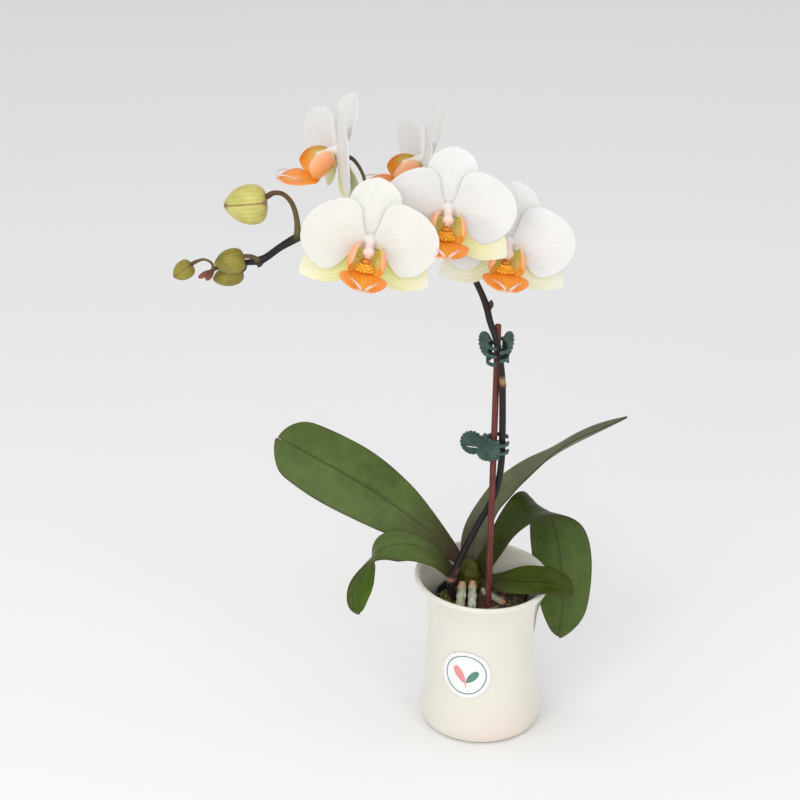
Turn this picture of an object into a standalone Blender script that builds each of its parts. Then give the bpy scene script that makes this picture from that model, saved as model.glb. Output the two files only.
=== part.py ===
"""Potted phalaenopsis orchid: ceramic pot, grower's pot, mix, plant, stake and two spring clips.

The origin is the centre of the pot's flat underside, +Z is up and the flowers face -Y.
Sizes below are in millimetres; every mesh is scaled to metres when it is made.
"""
import math

import bmesh
import bpy
import numpy as np
from mathutils import Matrix, Vector

MM = 0.001
GAP = 0.3

# Pot: outline radii at heights above the table
POT_OUTSIDE = [
    (34.0, 0.0), (37.2, 2.2), (38.9, 7.5), (38.7, 14.0), (37.2, 27.0), (35.8, 44.0),
    (35.2, 62.0), (35.6, 76.0), (37.2, 88.0), (40.4, 96.5), (43.2, 101.5), (43.7, 103.6),
]
POT_INSIDE = [
    (42.6, 105.0), (40.6, 104.2), (38.4, 100.0), (35.2, 91.0), (32.6, 80.0), (31.8, 64.0),
    (32.4, 44.0), (33.9, 27.0), (35.0, 14.0), (33.5, 8.5), (29.0, 6.0),
]
POT_SIDES = 36
RIM_LEAN_SIDE = 1.9
RIM_LEAN_BACK = 2.4
FLARE_LEAN = 4.2

LABEL_RADIUS = 16.2
LABEL_THICKNESS = 0.3
LABEL_TURN = math.radians(-17.5)
LABEL_HEIGHT = 50.5

GROWER_TOP = 90.0
GROWER_BOTTOM = 8.0
GROWER_TOP_RADIUS = 30.6
GROWER_BOTTOM_RADIUS = 25.0
GROWER_WALL = 0.9
DRAIN_HOLE_RADIUS = 2.5
MIX_TOP = 87.0

STAKE_RADIUS = 2.0
STAKE_FOOT = (2.2, -15.8, 14.0)
STAKE_TIP = (6.8, -13.0, 284.0)

CROWN_AXIS = (-8.0, 1.0)
CROWN_RADIUS = 5.4
CROWN_FOOT = 87.5
CROWN_TOP = 113.0

TEPAL_THICKNESS = 0.9

# Clips: jaw width along the hinge, wall thickness and the outline of one jaw around the hinge
CLIP_HEIGHT = 16.0
CLIP_WALL = 1.6
HINGE_PIN_RADIUS = 0.9
HINGE_KNUCKLE_RADIUS = 2.2
KNUCKLE_LENGTH = 2.4
FINGER_HEIGHT = 2.4
THREE_FINGERS = (-5.4, 0.0, 5.4)
TWO_FINGERS = (-2.7, 2.7)
SPRING_COIL_RADIUS = 2.0
SPRING_COIL_HALF = 2.2
SPRING_WIRE_RADIUS = 0.38
JAW_FINGER = [(-2.6, 1.2), (-4.6, 2.8), (-6.1, 5.4), (-6.3, 8.6), (-5.2, 11.4), (-3.0, 13.4), (-0.9, 14.2)]
JAW_TAB = [(-2.6, 1.2), (-3.4, -1.6), (-5.0, -5.0), (-7.2, -9.4), (-9.4, -13.6)]
CLIP_UPPER = {"hinge": (6.7, -8.2, 266.0), "turn": 180.0, "fixed": TWO_FINGERS, "moving": THREE_FINGERS}
CLIP_LOWER = {"hinge": (0.2, -13.6, 202.0), "turn": -84.0, "fixed": THREE_FINGERS, "moving": TWO_FINGERS}


def clear_scene():
    """Empty the file of whatever it starts with."""
    for old in list(bpy.data.objects):
        bpy.data.objects.remove(old, do_unlink=True)


def make_finish(name, colour, roughness, metallic=0.0):
    """A plain finish for one kind of surface."""
    finish = bpy.data.materials.new(name)
    finish.use_nodes = True
    shader = finish.node_tree.nodes["Principled BSDF"]
    shader.inputs["Base Color"].default_value = (*colour, 1.0)
    shader.inputs["Roughness"].default_value = roughness
    shader.inputs["Metallic"].default_value = metallic
    return finish


def make_part(name, points, faces, finish, sharp_angle=50.0):
    """Turn millimetre points and faces into a smooth-shaded closed object."""
    shell = bmesh.new()
    corners = [shell.verts.new(Vector(point) * MM) for point in points]
    for face in faces:
        shell.faces.new([corners[index] for index in face])
    bmesh.ops.recalc_face_normals(shell, faces=shell.faces)
    mesh = bpy.data.meshes.new(name)
    shell.to_mesh(mesh)
    shell.free()
    mesh.shade_smooth()
    mesh.set_sharp_from_angle(angle=math.radians(sharp_angle))
    mesh.materials.append(finish)
    part = bpy.data.objects.new(name, mesh)
    bpy.context.scene.collection.objects.link(part)
    return part


def cut_or_join(target, tool, operation):
    """Apply an exact Boolean of one object on another and drop the tool."""
    modifier = target.modifiers.new("shape", "BOOLEAN")
    modifier.operation = operation
    modifier.solver = "EXACT"
    modifier.object = tool
    bpy.context.view_layer.objects.active = target
    for other in bpy.context.scene.objects:
        other.select_set(other == target)
    bpy.ops.object.modifier_apply(modifier=modifier.name)
    bpy.data.objects.remove(tool, do_unlink=True)


def curve_through(keys, count):
    """Evenly spaced samples of a smooth curve through hand-picked rows of numbers."""
    rows = np.array(keys, dtype=float)
    ends = np.vstack([2 * rows[0] - rows[1], rows, 2 * rows[-1] - rows[-2]])
    fine = []
    steps = 24
    for span in range(len(rows) - 1):
        before, start, end, after = ends[span:span + 4]
        for step in range(steps):
            t = step / steps
            fine.append(0.5 * (2 * start + (end - before) * t
                               + (2 * before - 5 * start + 4 * end - after) * t ** 2
                               + (3 * start - before - 3 * end + after) * t ** 3))
    fine = np.array(fine + [rows[-1]])
    lengths = np.linalg.norm(np.diff(fine[:, :3], axis=0), axis=1)
    along = np.concatenate([[0.0], np.cumsum(lengths)])
    wanted = np.linspace(0.0, along[-1], count)
    return np.array([[np.interp(place, along, column) for column in fine.T] for place in wanted])


def ring_faces(ring_count, ring_size, capped=True):
    """Faces that join equal rings one after another, with flat ends."""
    faces = []
    for ring in range(ring_count - 1):
        for side in range(ring_size):
            after = (side + 1) % ring_size
            low = ring * ring_size
            high = low + ring_size
            faces.append((low + side, low + after, high + after, high + side))
    if capped:
        faces.append(tuple(range(ring_size)))
        faces.append(tuple(range((ring_count - 1) * ring_size, ring_count * ring_size)))
    return faces


def tube_shape(keys, count, sides):
    """Points and faces of a round tube through keys of x, y, z and radius."""
    rows = curve_through(keys, count)
    centres = rows[:, :3]
    tangents = np.gradient(centres, axis=0)
    side = np.cross(tangents[0], (0.3, 0.9, 0.2))
    points = []
    for centre, tangent, radius in zip(centres, tangents, rows[:, 3]):
        tangent = tangent / np.linalg.norm(tangent)
        side = side - tangent * side.dot(tangent)
        side = side / np.linalg.norm(side)
        other = np.cross(tangent, side)
        for corner in range(sides):
            angle = 2 * math.pi * corner / sides
            points.append(centre + radius * (math.cos(angle) * side + math.sin(angle) * other))
    return points, ring_faces(count, sides)


def turned_shape(outline, sides):
    """Points and faces of an outline of radius and height turned about Z."""
    points = []
    for radius, height in outline:
        for side in range(sides):
            angle = 2 * math.pi * side / sides
            points.append((radius * math.cos(angle), radius * math.sin(angle), height))
    return points, ring_faces(len(outline), sides)


def sheet_shape(middle, thickness):
    """Points and faces of a closed sheet around a grid of middle points."""
    grid = np.array(middle, dtype=float)
    rows, columns = grid.shape[:2]
    normal = np.cross(np.gradient(grid, axis=0), np.gradient(grid, axis=1))
    normal /= np.linalg.norm(normal, axis=2)[:, :, None]
    front = grid + normal * thickness / 2
    back = grid - normal * thickness / 2
    points = [*front.reshape(-1, 3), *back.reshape(-1, 3)]
    size = rows * columns
    faces = []
    for row in range(rows - 1):
        for column in range(columns - 1):
            corner = row * columns + column
            quad = (corner, corner + 1, corner + columns + 1, corner + columns)
            faces.append(quad)
            faces.append(tuple(size + index for index in reversed(quad)))
    edge = list(range(columns))
    edge += [row * columns + columns - 1 for row in range(1, rows)]
    edge += [(rows - 1) * columns + column for column in range(columns - 2, -1, -1)]
    edge += [row * columns for row in range(rows - 2, 0, -1)]
    for start, end in zip(edge, edge[1:] + edge[:1]):
        faces.append((start, size + start, size + end, end))
    return points, faces


def place(points, matrix):
    """Move points by a placing matrix in millimetres."""
    return [matrix @ Vector(point) for point in points]


def lean_rim(points):
    """Lean the flare and the rim: the rim is high at the back left and its flare droops on the right."""
    leaned = []
    for x, y, z in points:
        radius = math.hypot(x, y)
        share = min(max((z - 58.0) / 30.0, 0.0), 1.0)
        rim_share = min(max((z - 88.0) / 16.0, 0.0), 1.0)
        if radius > 0:
            side_lean = FLARE_LEAN + (RIM_LEAN_SIDE - FLARE_LEAN) * rim_share
            z += share * (-side_lean * x + RIM_LEAN_BACK * y) / radius
        leaned.append((x, y, z))
    return leaned


def outside_radius(height):
    """Radius of the pot's outer wall at a height."""
    radii, heights = zip(*POT_OUTSIDE)
    return float(np.interp(height, heights, radii))


def build_pot(finish):
    """The cover pot: flat foot, waist, flared rolled rim and a flat floor inside."""
    points, faces = turned_shape(POT_OUTSIDE + POT_INSIDE, POT_SIDES)
    make_part("pot", lean_rim(points), faces, finish)


def build_label(finish):
    """A round sticker that follows the curve of the pot."""
    rings = 3
    spokes = 24
    layers = []
    for lift in (1.5 * GAP, 1.5 * GAP + LABEL_THICKNESS):
        layer = []
        for ring in range(1, rings + 1):
            for spoke in range(spokes):
                reach = LABEL_RADIUS * ring / rings
                angle = 2 * math.pi * spoke / spokes
                height = LABEL_HEIGHT + reach * math.sin(angle)
                wall = outside_radius(height) + lift
                turn = LABEL_TURN + reach * math.cos(angle) / wall
                layer.append((wall * math.sin(turn), -wall * math.cos(turn), height))
        layers.append(layer)
    size = rings * spokes
    faces = ring_faces(rings, spokes)[:-1]
    faces += [tuple(size + index for index in face) for face in faces]
    rim = [(rings - 1) * spokes + spoke for spoke in range(spokes)]
    for start, end in zip(rim, rim[1:] + rim[:1]):
        faces.append((start, end, size + end, size + start))
    make_part("label", layers[0] + layers[1], faces, finish)


def build_grower_pot(finish):
    """Thin plastic pot inside, with drain holes in its base."""
    outline = [
        (GROWER_BOTTOM_RADIUS, GROWER_BOTTOM), (GROWER_TOP_RADIUS, GROWER_TOP),
        (GROWER_TOP_RADIUS - GROWER_WALL, GROWER_TOP),
        (GROWER_BOTTOM_RADIUS - GROWER_WALL, GROWER_BOTTOM + GROWER_WALL),
    ]
    points, faces = turned_shape(outline, 32)
    pot = make_part("nursery_pot", points, faces, finish)
    for hole in range(4):
        angle = math.pi / 4 + hole * math.pi / 2
        points, faces = turned_shape([(DRAIN_HOLE_RADIUS, -4.0), (DRAIN_HOLE_RADIUS, 4.0)], 10)
        spot = Matrix.Translation((14 * math.cos(angle), 14 * math.sin(angle), GROWER_BOTTOM))
        cut_or_join(pot, make_part("hole", place(points, spot), faces, finish), "DIFFERENCE")


def build_mix(finish):
    """Bark and moss filling the grower's pot, with a bore where the stake stands."""
    slope = (GROWER_TOP_RADIUS - GROWER_BOTTOM_RADIUS) / (GROWER_TOP - GROWER_BOTTOM)
    low = GROWER_BOTTOM + GROWER_WALL + GAP
    inner = GROWER_BOTTOM_RADIUS - GROWER_WALL - 0.6
    outline = [
        (inner, low), (inner + slope * (MIX_TOP - 2.5 - low), MIX_TOP - 2.5),
        (inner + slope * (MIX_TOP - low) - 2.5, MIX_TOP),
    ]
    points, faces = turned_shape(outline, 32)
    mix = make_part("potting_mix", points, faces, finish)
    foot = Vector(STAKE_FOOT)
    run = (Vector(STAKE_TIP) - foot).normalized()
    start = foot - run
    end = foot + run * 90.0
    radius = STAKE_RADIUS + GAP
    points, faces = tube_shape([(*start, radius), (*end, radius)], 2, 12)
    cut_or_join(mix, make_part("bore", points, faces, finish), "DIFFERENCE")


def build_stake(finish):
    """Thin stick from the mix to the upper clip, with a rounded tip."""
    foot = Vector(STAKE_FOOT)
    tip = Vector(STAKE_TIP)
    run = (tip - foot).normalized()
    near_tip = tip - run * 1.6
    keys = [(*foot, STAKE_RADIUS), (*((foot + near_tip) / 2), STAKE_RADIUS), (*near_tip, STAKE_RADIUS)]
    points, faces = tube_shape(keys, 7, 12)
    tip_keys = [(*(near_tip + run), STAKE_RADIUS * 0.75), (*tip, STAKE_RADIUS * 0.35)]
    tip_points, _ = tube_shape(tip_keys, 2, 12)
    points += tip_points
    make_part("stake", points, ring_faces(9, 12), finish)


def build_crown(finish):
    """Short stem that the leaves, roots and spike grow from."""
    outline = [
        (3.4, CROWN_FOOT), (CROWN_RADIUS, CROWN_FOOT + 6),
        (CROWN_RADIUS - 0.4, CROWN_TOP - 7), (2.2, CROWN_TOP),
    ]
    points, faces = turned_shape(outline, 14)
    make_part("crown", place(points, Matrix.Translation((*CROWN_AXIS, 0.0))), faces, finish)


LEAVES = {
    "leaf_a": {
        "fold": 0.14, "thickness": 2.0, "stations": [
            (-15.5, 5.0, 113.5, 0.35, 0.80, 0.45, 3.8),
            (-24.0, 6.8, 122.0, 0.50, 0.70, 0.52, 7.4),
            (-38.0, 9.0, 134.0, 0.56, 0.62, 0.56, 12.5),
            (-56.0, 13.0, 147.0, 0.58, 0.56, 0.60, 18.5),
            (-78.0, 18.5, 160.5, 0.58, 0.56, 0.60, 22.5),
            (-101.0, 24.5, 173.0, 0.58, 0.55, 0.60, 23.0),
            (-121.0, 29.5, 183.0, 0.57, 0.55, 0.60, 17.5),
            (-132.0, 32.0, 188.5, 0.57, 0.55, 0.60, 4.5),
        ]},
    "leaf_b": {
        "fold": 0.20, "thickness": 2.0, "stations": [
            (-15.6, 0.0, 101.5, 0.10, 0.90, 0.40, 3.8),
            (-21.2, -2.8, 109.5, 0.20, 0.90, 0.40, 4.0),
            (-33.0, -9.5, 124.5, 0.10, 0.88, 0.44, 8.0),
            (-48.0, -15.5, 134.0, 0.10, 0.88, 0.46, 10.5),
            (-60.0, -22.0, 135.7, 0.35, 0.86, 0.36, 11.5),
            (-70.0, -27.5, 130.5, 0.50, 0.82, 0.20, 12.5),
            (-77.5, -32.0, 118.8, 0.62, 0.76, 0.12, 12.0),
            (-79.5, -34.0, 106.8, 0.66, 0.74, 0.10, 9.0),
            (-78.0, -35.0, 96.8, 0.66, 0.74, 0.10, 2.0),
        ]},
    "leaf_c": {
        "fold": 0.20, "thickness": 2.0, "stations": [
            (-6.5, 10.5, 110.0, -0.85, 0.10, 0.25, 4.5),
            (-3.4, 16.5, 127.6, -0.82, 0.09, 0.20, 7.4),
            (6.4, 24.5, 145.4, -0.78, 0.15, 0.15, 6.6),
            (24.0, 30.0, 161.0, -0.62, 0.60, -0.05, 10.0),
            (48.0, 34.0, 177.0, -0.36, 0.84, -0.33, 14.0),
            (74.0, 46.0, 186.0, -0.34, 0.84, -0.35, 12.5),
            (94.0, 54.0, 192.0, -0.34, 0.84, -0.35, 2.5),
        ]},
    "leaf_d": {
        "fold": 0.16, "thickness": 2.0, "stations": [
            (-0.2, 2.2, 107.5, -0.45, 0.80, 0.10, 4.0),
            (7.5, 1.6, 122.0, -0.42, 0.83, 0.14, 6.6),
            (15.5, 3.0, 138.0, -0.38, 0.84, 0.16, 11.0),
            (27.0, 9.6, 146.0, -0.45, 0.82, 0.12, 15.0),
            (38.0, 19.5, 144.0, -0.65, 0.72, 0.14, 18.0),
            (46.0, 26.5, 132.5, -0.80, 0.55, 0.10, 19.5),
            (51.0, 29.0, 114.0, -0.92, 0.32, 0.00, 20.0),
            (54.0, 29.0, 90.0, -0.96, 0.22, 0.00, 18.5),
            (55.0, 27.0, 66.0, -0.97, 0.20, 0.00, 13.5),
            (52.5, 25.0, 46.5, -0.97, 0.20, 0.00, 3.0),
        ]},
    "leaf_e": {
        "fold": 0.18, "thickness": 1.9, "stations": [
            (-0.4, -1.8, 100.5, 0.05, 0.90, 0.30, 3.0),
            (8.0, -5.0, 103.0, 0.05, 0.94, 0.30, 5.5),
            (18.0, -11.0, 105.5, 0.05, 0.94, 0.28, 11.0),
            (31.0, -14.5, 107.8, 0.05, 0.94, 0.28, 12.5),
            (43.0, -16.5, 108.0, 0.05, 0.94, 0.28, 11.5),
            (51.5, -18.0, 105.5, 0.08, 0.94, 0.26, 8.0),
            (57.0, -19.5, 101.5, 0.10, 0.94, 0.24, 2.0),
        ]},
}


def build_leaf(name, shape, finish, stations=16):
    """A strap leaf: shallow V in section, thick along its midrib, thin at its margins."""
    rows = curve_through(shape["stations"], stations)
    middle = rows[:, :3]
    runs = np.gradient(middle, axis=0)
    across = (-1.0, -0.55, 0.0, 0.55, 1.0)
    points = []
    for centre, run, side, half in zip(middle, runs, rows[:, 3:6], rows[:, 6]):
        run = run / np.linalg.norm(run)
        side = side - run * side.dot(run)
        side = side / np.linalg.norm(side)
        normal = np.cross(run, side)
        thickness = shape["thickness"]
        top = [centre + side * half * t + normal * shape["fold"] * half * t * t for t in across]
        under = [point - normal * thickness * (1.0 - 0.62 * abs(t)) for point, t in zip(top, across)]
        points += top + under[::-1]
    make_part(name, points, ring_faces(stations, 2 * len(across)), finish)


ROOTS = {
    "root_a": [
        (-13.2, -7.6, 104.0, 2.4), (-13.4, -10.2, 99.5, 2.9), (-14.0, -14.0, 94.5, 2.9),
        (-14.8, -18.5, 90.8, 2.6),
    ],
    "root_b": [
        (-6.4, -7.6, 104.5, 2.4), (-6.4, -10.4, 99.5, 2.8), (-6.6, -14.5, 94.5, 2.8),
        (-7.0, -19.0, 90.8, 2.6),
    ],
    "root_c": [
        (-0.6, -5.8, 97.2, 1.8), (3.0, -7.8, 95.6, 2.2), (8.5, -9.6, 92.8, 2.3),
        (14.5, -12.0, 90.2, 2.0),
    ],
}

SPIKE_STEM = [
    (-17.6, -6.5, 91.0, 2.5), (-20.4, -8.6, 99.0, 2.6), (-20.2, -9.8, 107.0, 2.6),
    (-17.6, -10.0, 114.0, 2.4), (-12.2, -9.6, 127.0, 2.3), (-3.6, -8.6, 145.5, 2.3),
    (3.8, -8.8, 160.0, 2.3), (8.4, -11.2, 175.0, 2.2), (10.3, -13.4, 191.0, 2.2),
    (10.6, -13.8, 213.0, 2.2), (10.3, -15.2, 232.0, 2.2), (9.8, -17.0, 247.0, 2.1),
    (8.8, -18.2, 258.0, 2.1), (7.4, -18.5, 268.0, 2.1), (5.2, -17.6, 277.0, 2.1),
    (1.8, -14.2, 286.0, 2.1), (-0.4, -8.6, 294.0, 2.1), (-4.4, -4.0, 303.0, 2.0),
    (-12.0, -1.0, 317.0, 2.0), (-24.0, -1.0, 333.0, 2.0), (-40.0, -2.0, 345.0, 1.9),
    (-58.0, -3.0, 351.5, 1.9), (-76.0, -3.0, 352.0, 1.8), (-94.0, -1.5, 346.5, 1.8),
    (-108.0, -0.4, 338.8, 1.8), (-115.0, 0.0, 335.3, 2.2), (-125.5, 0.0, 329.0, 1.7),
    (-134.0, 0.0, 322.6, 1.8), (-138.5, 0.0, 320.4, 2.3), (-144.0, 0.0, 319.4, 1.7),
    (-155.0, 0.0, 318.2, 1.4), (-164.5, -0.4, 315.8, 1.2), (-168.0, -0.8, 313.6, 1.4),
]
PEDICELS = [
    [
        (-76.0, -4.0, 351.6, 1.5), (-76.0, -14.0, 350.4, 1.2), (-74.0, -32.0, 347.6, 1.1),
        (-71.6, -46.0, 348.2, 1.2), (-71.2, -50.6, 348.6, 1.6),
    ],
    [
        (-32.0, -2.0, 339.0, 1.5), (-29.6, -6.0, 345.0, 1.2), (-26.6, -15.0, 355.0, 1.1),
        (-25.4, -20.4, 358.4, 1.2), (-25.3, -23.6, 358.8, 1.6),
    ],
    [
        (-7.0, -2.4, 307.0, 1.5), (-1.0, 3.6, 315.0, 1.2), (8.0, 5.6, 326.5, 1.1),
        (11.0, 0.4, 330.2, 1.2), (11.2, -4.6, 331.0, 1.6),
    ],
    [
        (-74.0, -2.0, 351.5, 1.5), (-73.8, 4.0, 360.0, 1.2), (-75.0, 9.6, 371.0, 1.1),
        (-81.4, 11.8, 381.0, 1.2), (-88.8, 10.0, 382.8, 1.6),
    ],
    [
        (-20.0, -1.0, 328.0, 1.5), (-12.0, 12.0, 333.0, 1.2), (-12.0, 34.0, 346.0, 1.1),
        (-22.0, 50.0, 360.0, 1.2), (-36.6, 52.6, 363.8, 1.6),
    ],
    [
        (-115.0, 0.0, 335.0, 1.6), (-115.2, 0.0, 346.0, 1.1), (-117.6, 0.0, 356.0, 1.0),
        (-122.6, 0.0, 362.4, 1.1), (-128.4, 0.0, 364.0, 1.2), (-131.4, 0.0, 362.6, 1.5),
    ],
    [
        (-139.0, -0.4, 320.6, 1.2), (-142.0, -2.6, 323.6, 1.0), (-145.0, -5.0, 325.0, 1.2),
    ],
    [
        (-147.0, 0.0, 318.8, 1.0), (-147.0, 2.4, 316.0, 0.9), (-147.4, 4.2, 313.4, 1.0),
    ],
    [
        (-166.6, -0.6, 315.4, 1.1), (-167.6, 0.0, 318.8, 0.9), (-172.4, 0.2, 321.0, 0.9),
        (-177.2, 0.2, 319.6, 1.2),
    ],
]
TINY_BUDS = [
    [(-166.6, -0.8, 314.6, 1.0), (-168.6, -1.0, 312.0, 2.2), (-170.2, -1.0, 309.4, 1.9), (-171.0, -1.0, 307.8, 0.7)],
    [(-167.4, -0.8, 314.2, 0.8), (-171.0, -2.8, 313.0, 1.8), (-174.2, -4.0, 311.4, 1.5), (-175.6, -4.4, 310.8, 0.6)],
]
BRACTS = [
    [(10.6, -13.6, 244.0, 2.0), (10.4, -17.4, 247.6, 1.9), (10.2, -18.6, 250.4, 0.8)],
    [(0.6, -7.0, 291.0, 1.6), (2.4, -7.4, 294.4, 1.8), (2.6, -7.2, 297.6, 0.7)],
    [(-19.0, -11.6, 108.6, 1.9), (-16.6, -12.6, 113.0, 1.5), (-15.4, -12.6, 116.0, 0.6)],
    [(-136.5, 0.0, 320.6, 1.5), (-138.4, 0.0, 317.6, 1.4), (-139.6, 0.0, 316.0, 0.6)],
]


def build_spike(finish):
    """The flower spike: one stem with its pedicels, two tiny buds and the bracts at its nodes."""
    points, faces = tube_shape(SPIKE_STEM, 58, 8)
    spike = make_part("flower_spike", points, faces, finish)
    for keys in PEDICELS:
        points, faces = tube_shape(keys, 4 + len(keys), 6)
        cut_or_join(spike, make_part("pedicel", points, faces, finish), "UNION")
    for keys in TINY_BUDS + BRACTS:
        points, faces = tube_shape(keys, 5, 6)
        cut_or_join(spike, make_part("node", points, faces, finish), "UNION")


BUDS = {
    "bud_a": {"centre": (-146.0, 0.0, 356.6), "tip": (-1.0, 0.05, -0.10), "length": 26.5, "width": 22.5},
    "bud_b": {"centre": (-156.0, -7.6, 322.6), "tip": (-0.96, -0.10, -0.12), "length": 18.0, "width": 14.6},
    "bud_c": {"centre": (-158.4, 5.6, 308.4), "tip": (-0.95, 0.10, -0.30), "length": 19.0, "width": 12.8},
    "bud_d": {"centre": (-185.6, 0.0, 313.6), "tip": (-0.82, -0.10, -0.55), "length": 14.0, "width": 11.6},
}
BUD_OUTLINE = [
    (0.0, 0.16), (0.06, 0.50), (0.20, 0.84), (0.40, 1.0), (0.60, 0.93), (0.78, 0.72), (0.92, 0.38), (1.0, 0.10),
]


def build_bud(name, shape, finish):
    """An egg-shaped closed bud, broad near its stalk and bluntly pointed."""
    outline = [(width * shape["width"] / 2, (along - 0.5) * shape["length"]) for along, width in BUD_OUTLINE]
    points, faces = turned_shape(outline, 12)
    turn = Vector(shape["tip"]).to_track_quat("Z", "Y").to_matrix().to_4x4()
    make_part(name, place(points, Matrix.Translation(shape["centre"]) @ turn), faces, finish)


# Flower organs in a flower's own frame: x right, y up, z out of its face.
# "peak" is how far along the organ it is widest, "round" is below 1 for a fuller outline.
DORSAL = {"angle": 90.0, "length": 36.8, "half": 15.4, "peak": 0.58, "round": 0.62, "claw": 0.20, "tip": 0.12,
          "base_z": 0.0, "sweep": -7.0, "cup": 1.6}
LATERAL = {"angle": -31.0, "length": 42.5, "half": 13.4, "peak": 0.42, "round": 0.75, "claw": 0.24, "tip": 0.10,
           "base_z": 0.0, "sweep": -7.0, "cup": 1.4}
PETAL = {"angle": 16.0, "length": 37.0, "half": 21.0, "peak": 0.58, "round": 0.60, "claw": 0.11, "tip": 0.14,
         "base_z": 1.6, "sweep": 9.0, "cup": -1.2}
ORGAN_START = 3.4

LIP_PATH = [
    (2.8, -4.8, 1.8, 70.0), (5.6, -6.8, 8.0, 78.0), (9.4, -8.6, 15.5, 84.0), (13.0, -10.2, 14.5, 76.0),
    (16.2, -11.8, 5.6, 40.0), (19.0, -13.2, 8.4, -6.0), (22.6, -15.2, 13.6, -26.0), (26.6, -17.2, 11.5, -28.0),
    (30.6, -18.4, 5.6, -18.0), (34.2, -17.8, 1.5, -4.0),
]
COLUMN_KEYS = [(0.0, 0.0, -0.4, 1.9), (0.0, -0.7, 2.6, 2.3), (0.0, -2.0, 5.8, 2.7), (0.0, -3.6, 8.2, 2.9),
               (0.0, -5.0, 9.8, 2.3), (0.0, -5.8, 10.6, 0.9)]

FLOWERS = {
    "flower_1": {"centre": (-71.4, -52.0, 348.8), "facing": (0.03, -1.0, 0.05), "roll": 8.0},
    "flower_2": {"centre": (-25.3, -25.0, 359.0), "facing": (0.05, -1.0, 0.05), "roll": 6.0,
                 "tweaks": {"lateral_sepal_right": {"sweep": 2.0}}},
    "flower_3": {"centre": (11.3, -6.0, 331.2), "facing": (0.05, -1.0, 0.05), "roll": 7.0},
    "flower_4": {"centre": (-90.2, 9.6, 383.0), "facing": (-0.93, -0.36, 0.05), "roll": 3.0},
    "flower_5": {"centre": (-38.0, 52.0, 364.0), "facing": (-0.96, -0.25, 0.10), "roll": 5.0},
}


def flower_matrix(flower):
    """Placing matrix of a flower from its centre, its facing direction and its roll."""
    facing = Vector(flower["facing"]).normalized()
    up = Vector((0.0, 0.0, 1.0))
    up = (up - facing * up.dot(facing)).normalized()
    right = up.cross(facing)
    roll = math.radians(flower["roll"])
    rolled_up = up * math.cos(roll) + right * math.sin(roll)
    rolled_right = right * math.cos(roll) - up * math.sin(roll)
    turn = Matrix((rolled_right, rolled_up, facing)).transposed().to_4x4()
    return Matrix.Translation(flower["centre"]) @ turn


def tepal_points(tepal, mirrored, rows=8, columns=5):
    """Middle surface of a sepal or petal as rows from its base to its tip."""
    angle = math.radians(180.0 - tepal["angle"] if mirrored else tepal["angle"])
    along = Vector((math.cos(angle), math.sin(angle), 0.0))
    across = Vector((-math.sin(angle), math.cos(angle), 0.0))
    shift = math.log(0.5) / math.log(tepal["peak"])
    grid = []
    for row in range(rows):
        share = (1.0 - math.cos(math.pi * row / (rows - 1))) / 2
        outline = max(math.sin(math.pi * share ** shift), 0.0) ** tepal["round"]
        half = tepal["half"] * max(outline, tepal["claw"] * (1.0 - share) + tepal["tip"] * share)
        reach = ORGAN_START + tepal["length"] * share
        line = []
        for column in range(columns):
            t = 2 * column / (columns - 1) - 1
            lift = tepal["base_z"] + reach * math.tan(math.radians(tepal["sweep"]))
            lift += tepal["cup"] * (t * half / tepal["half"]) ** 2
            line.append(along * reach + across * half * t + Vector((0.0, 0.0, lift)))
        grid.append(line)
    return grid


def lip_points(rows=12, columns=7):
    """Middle surface of the lip: a narrow claw, two raised side lobes, a waist and a broad middle lobe."""
    keys = [(0.0, y, z, half, curl) for z, y, half, curl in LIP_PATH]
    stations = curve_through(keys, rows)
    runs = np.gradient(stations[:, :3], axis=0)
    grid = []
    for (_, y, z, half, curl), run in zip(stations, runs):
        run = Vector(run).normalized()
        rise = Vector((1.0, 0.0, 0.0)).cross(run)
        bend = math.radians(curl) if abs(curl) > 0.5 else math.radians(0.5)
        line = []
        for column in range(columns):
            t = 2 * column / (columns - 1) - 1
            sideways = half / bend * math.sin(bend * t)
            height = half / bend * (1.0 - math.cos(bend * t))
            line.append(Vector((sideways, y, z)) - rise * height)
        grid.append(line)
    return grid


def build_flower(name, flower, finishes):
    """Seven organs around one centre, a small gap apart."""
    matrix = flower_matrix(flower)
    tepals = [
        ("dorsal_sepal", DORSAL, False, "tepal"),
        ("lateral_sepal_left", LATERAL, True, "sepal"),
        ("lateral_sepal_right", LATERAL, False, "sepal"),
        ("petal_left", PETAL, True, "tepal"),
        ("petal_right", PETAL, False, "tepal"),
    ]
    for organ, shape, mirrored, finish in tepals:
        own_shape = {**shape, **flower.get("tweaks", {}).get(organ, {})}
        points, faces = sheet_shape(tepal_points(own_shape, mirrored), TEPAL_THICKNESS)
        make_part(f"{name}_{organ}", place(points, matrix), faces, finishes[finish], 70.0)
    points, faces = sheet_shape(lip_points(), TEPAL_THICKNESS)
    make_part(f"{name}_lip", place(points, matrix), faces, finishes["lip"], 70.0)
    points, faces = tube_shape(COLUMN_KEYS, 7, 10)
    make_part(f"{name}_column", place(points, matrix), faces, finishes["column"])


def bar_shape(line, wall, low, high):
    """A bar of constant wall along a plan line, standing between two heights."""
    middle = np.array(line, dtype=float)
    runs = np.gradient(middle, axis=0)
    sides = np.stack([-runs[:, 1], runs[:, 0]], axis=1)
    sides /= np.linalg.norm(sides, axis=1)[:, None]
    points = []
    for centre, side in zip(middle, sides):
        for offset, height in ((-1, low), (1, low), (1, high), (-1, high)):
            points.append((*(centre + side * offset * wall / 2), height))
    return points, ring_faces(len(middle), 4)


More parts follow.
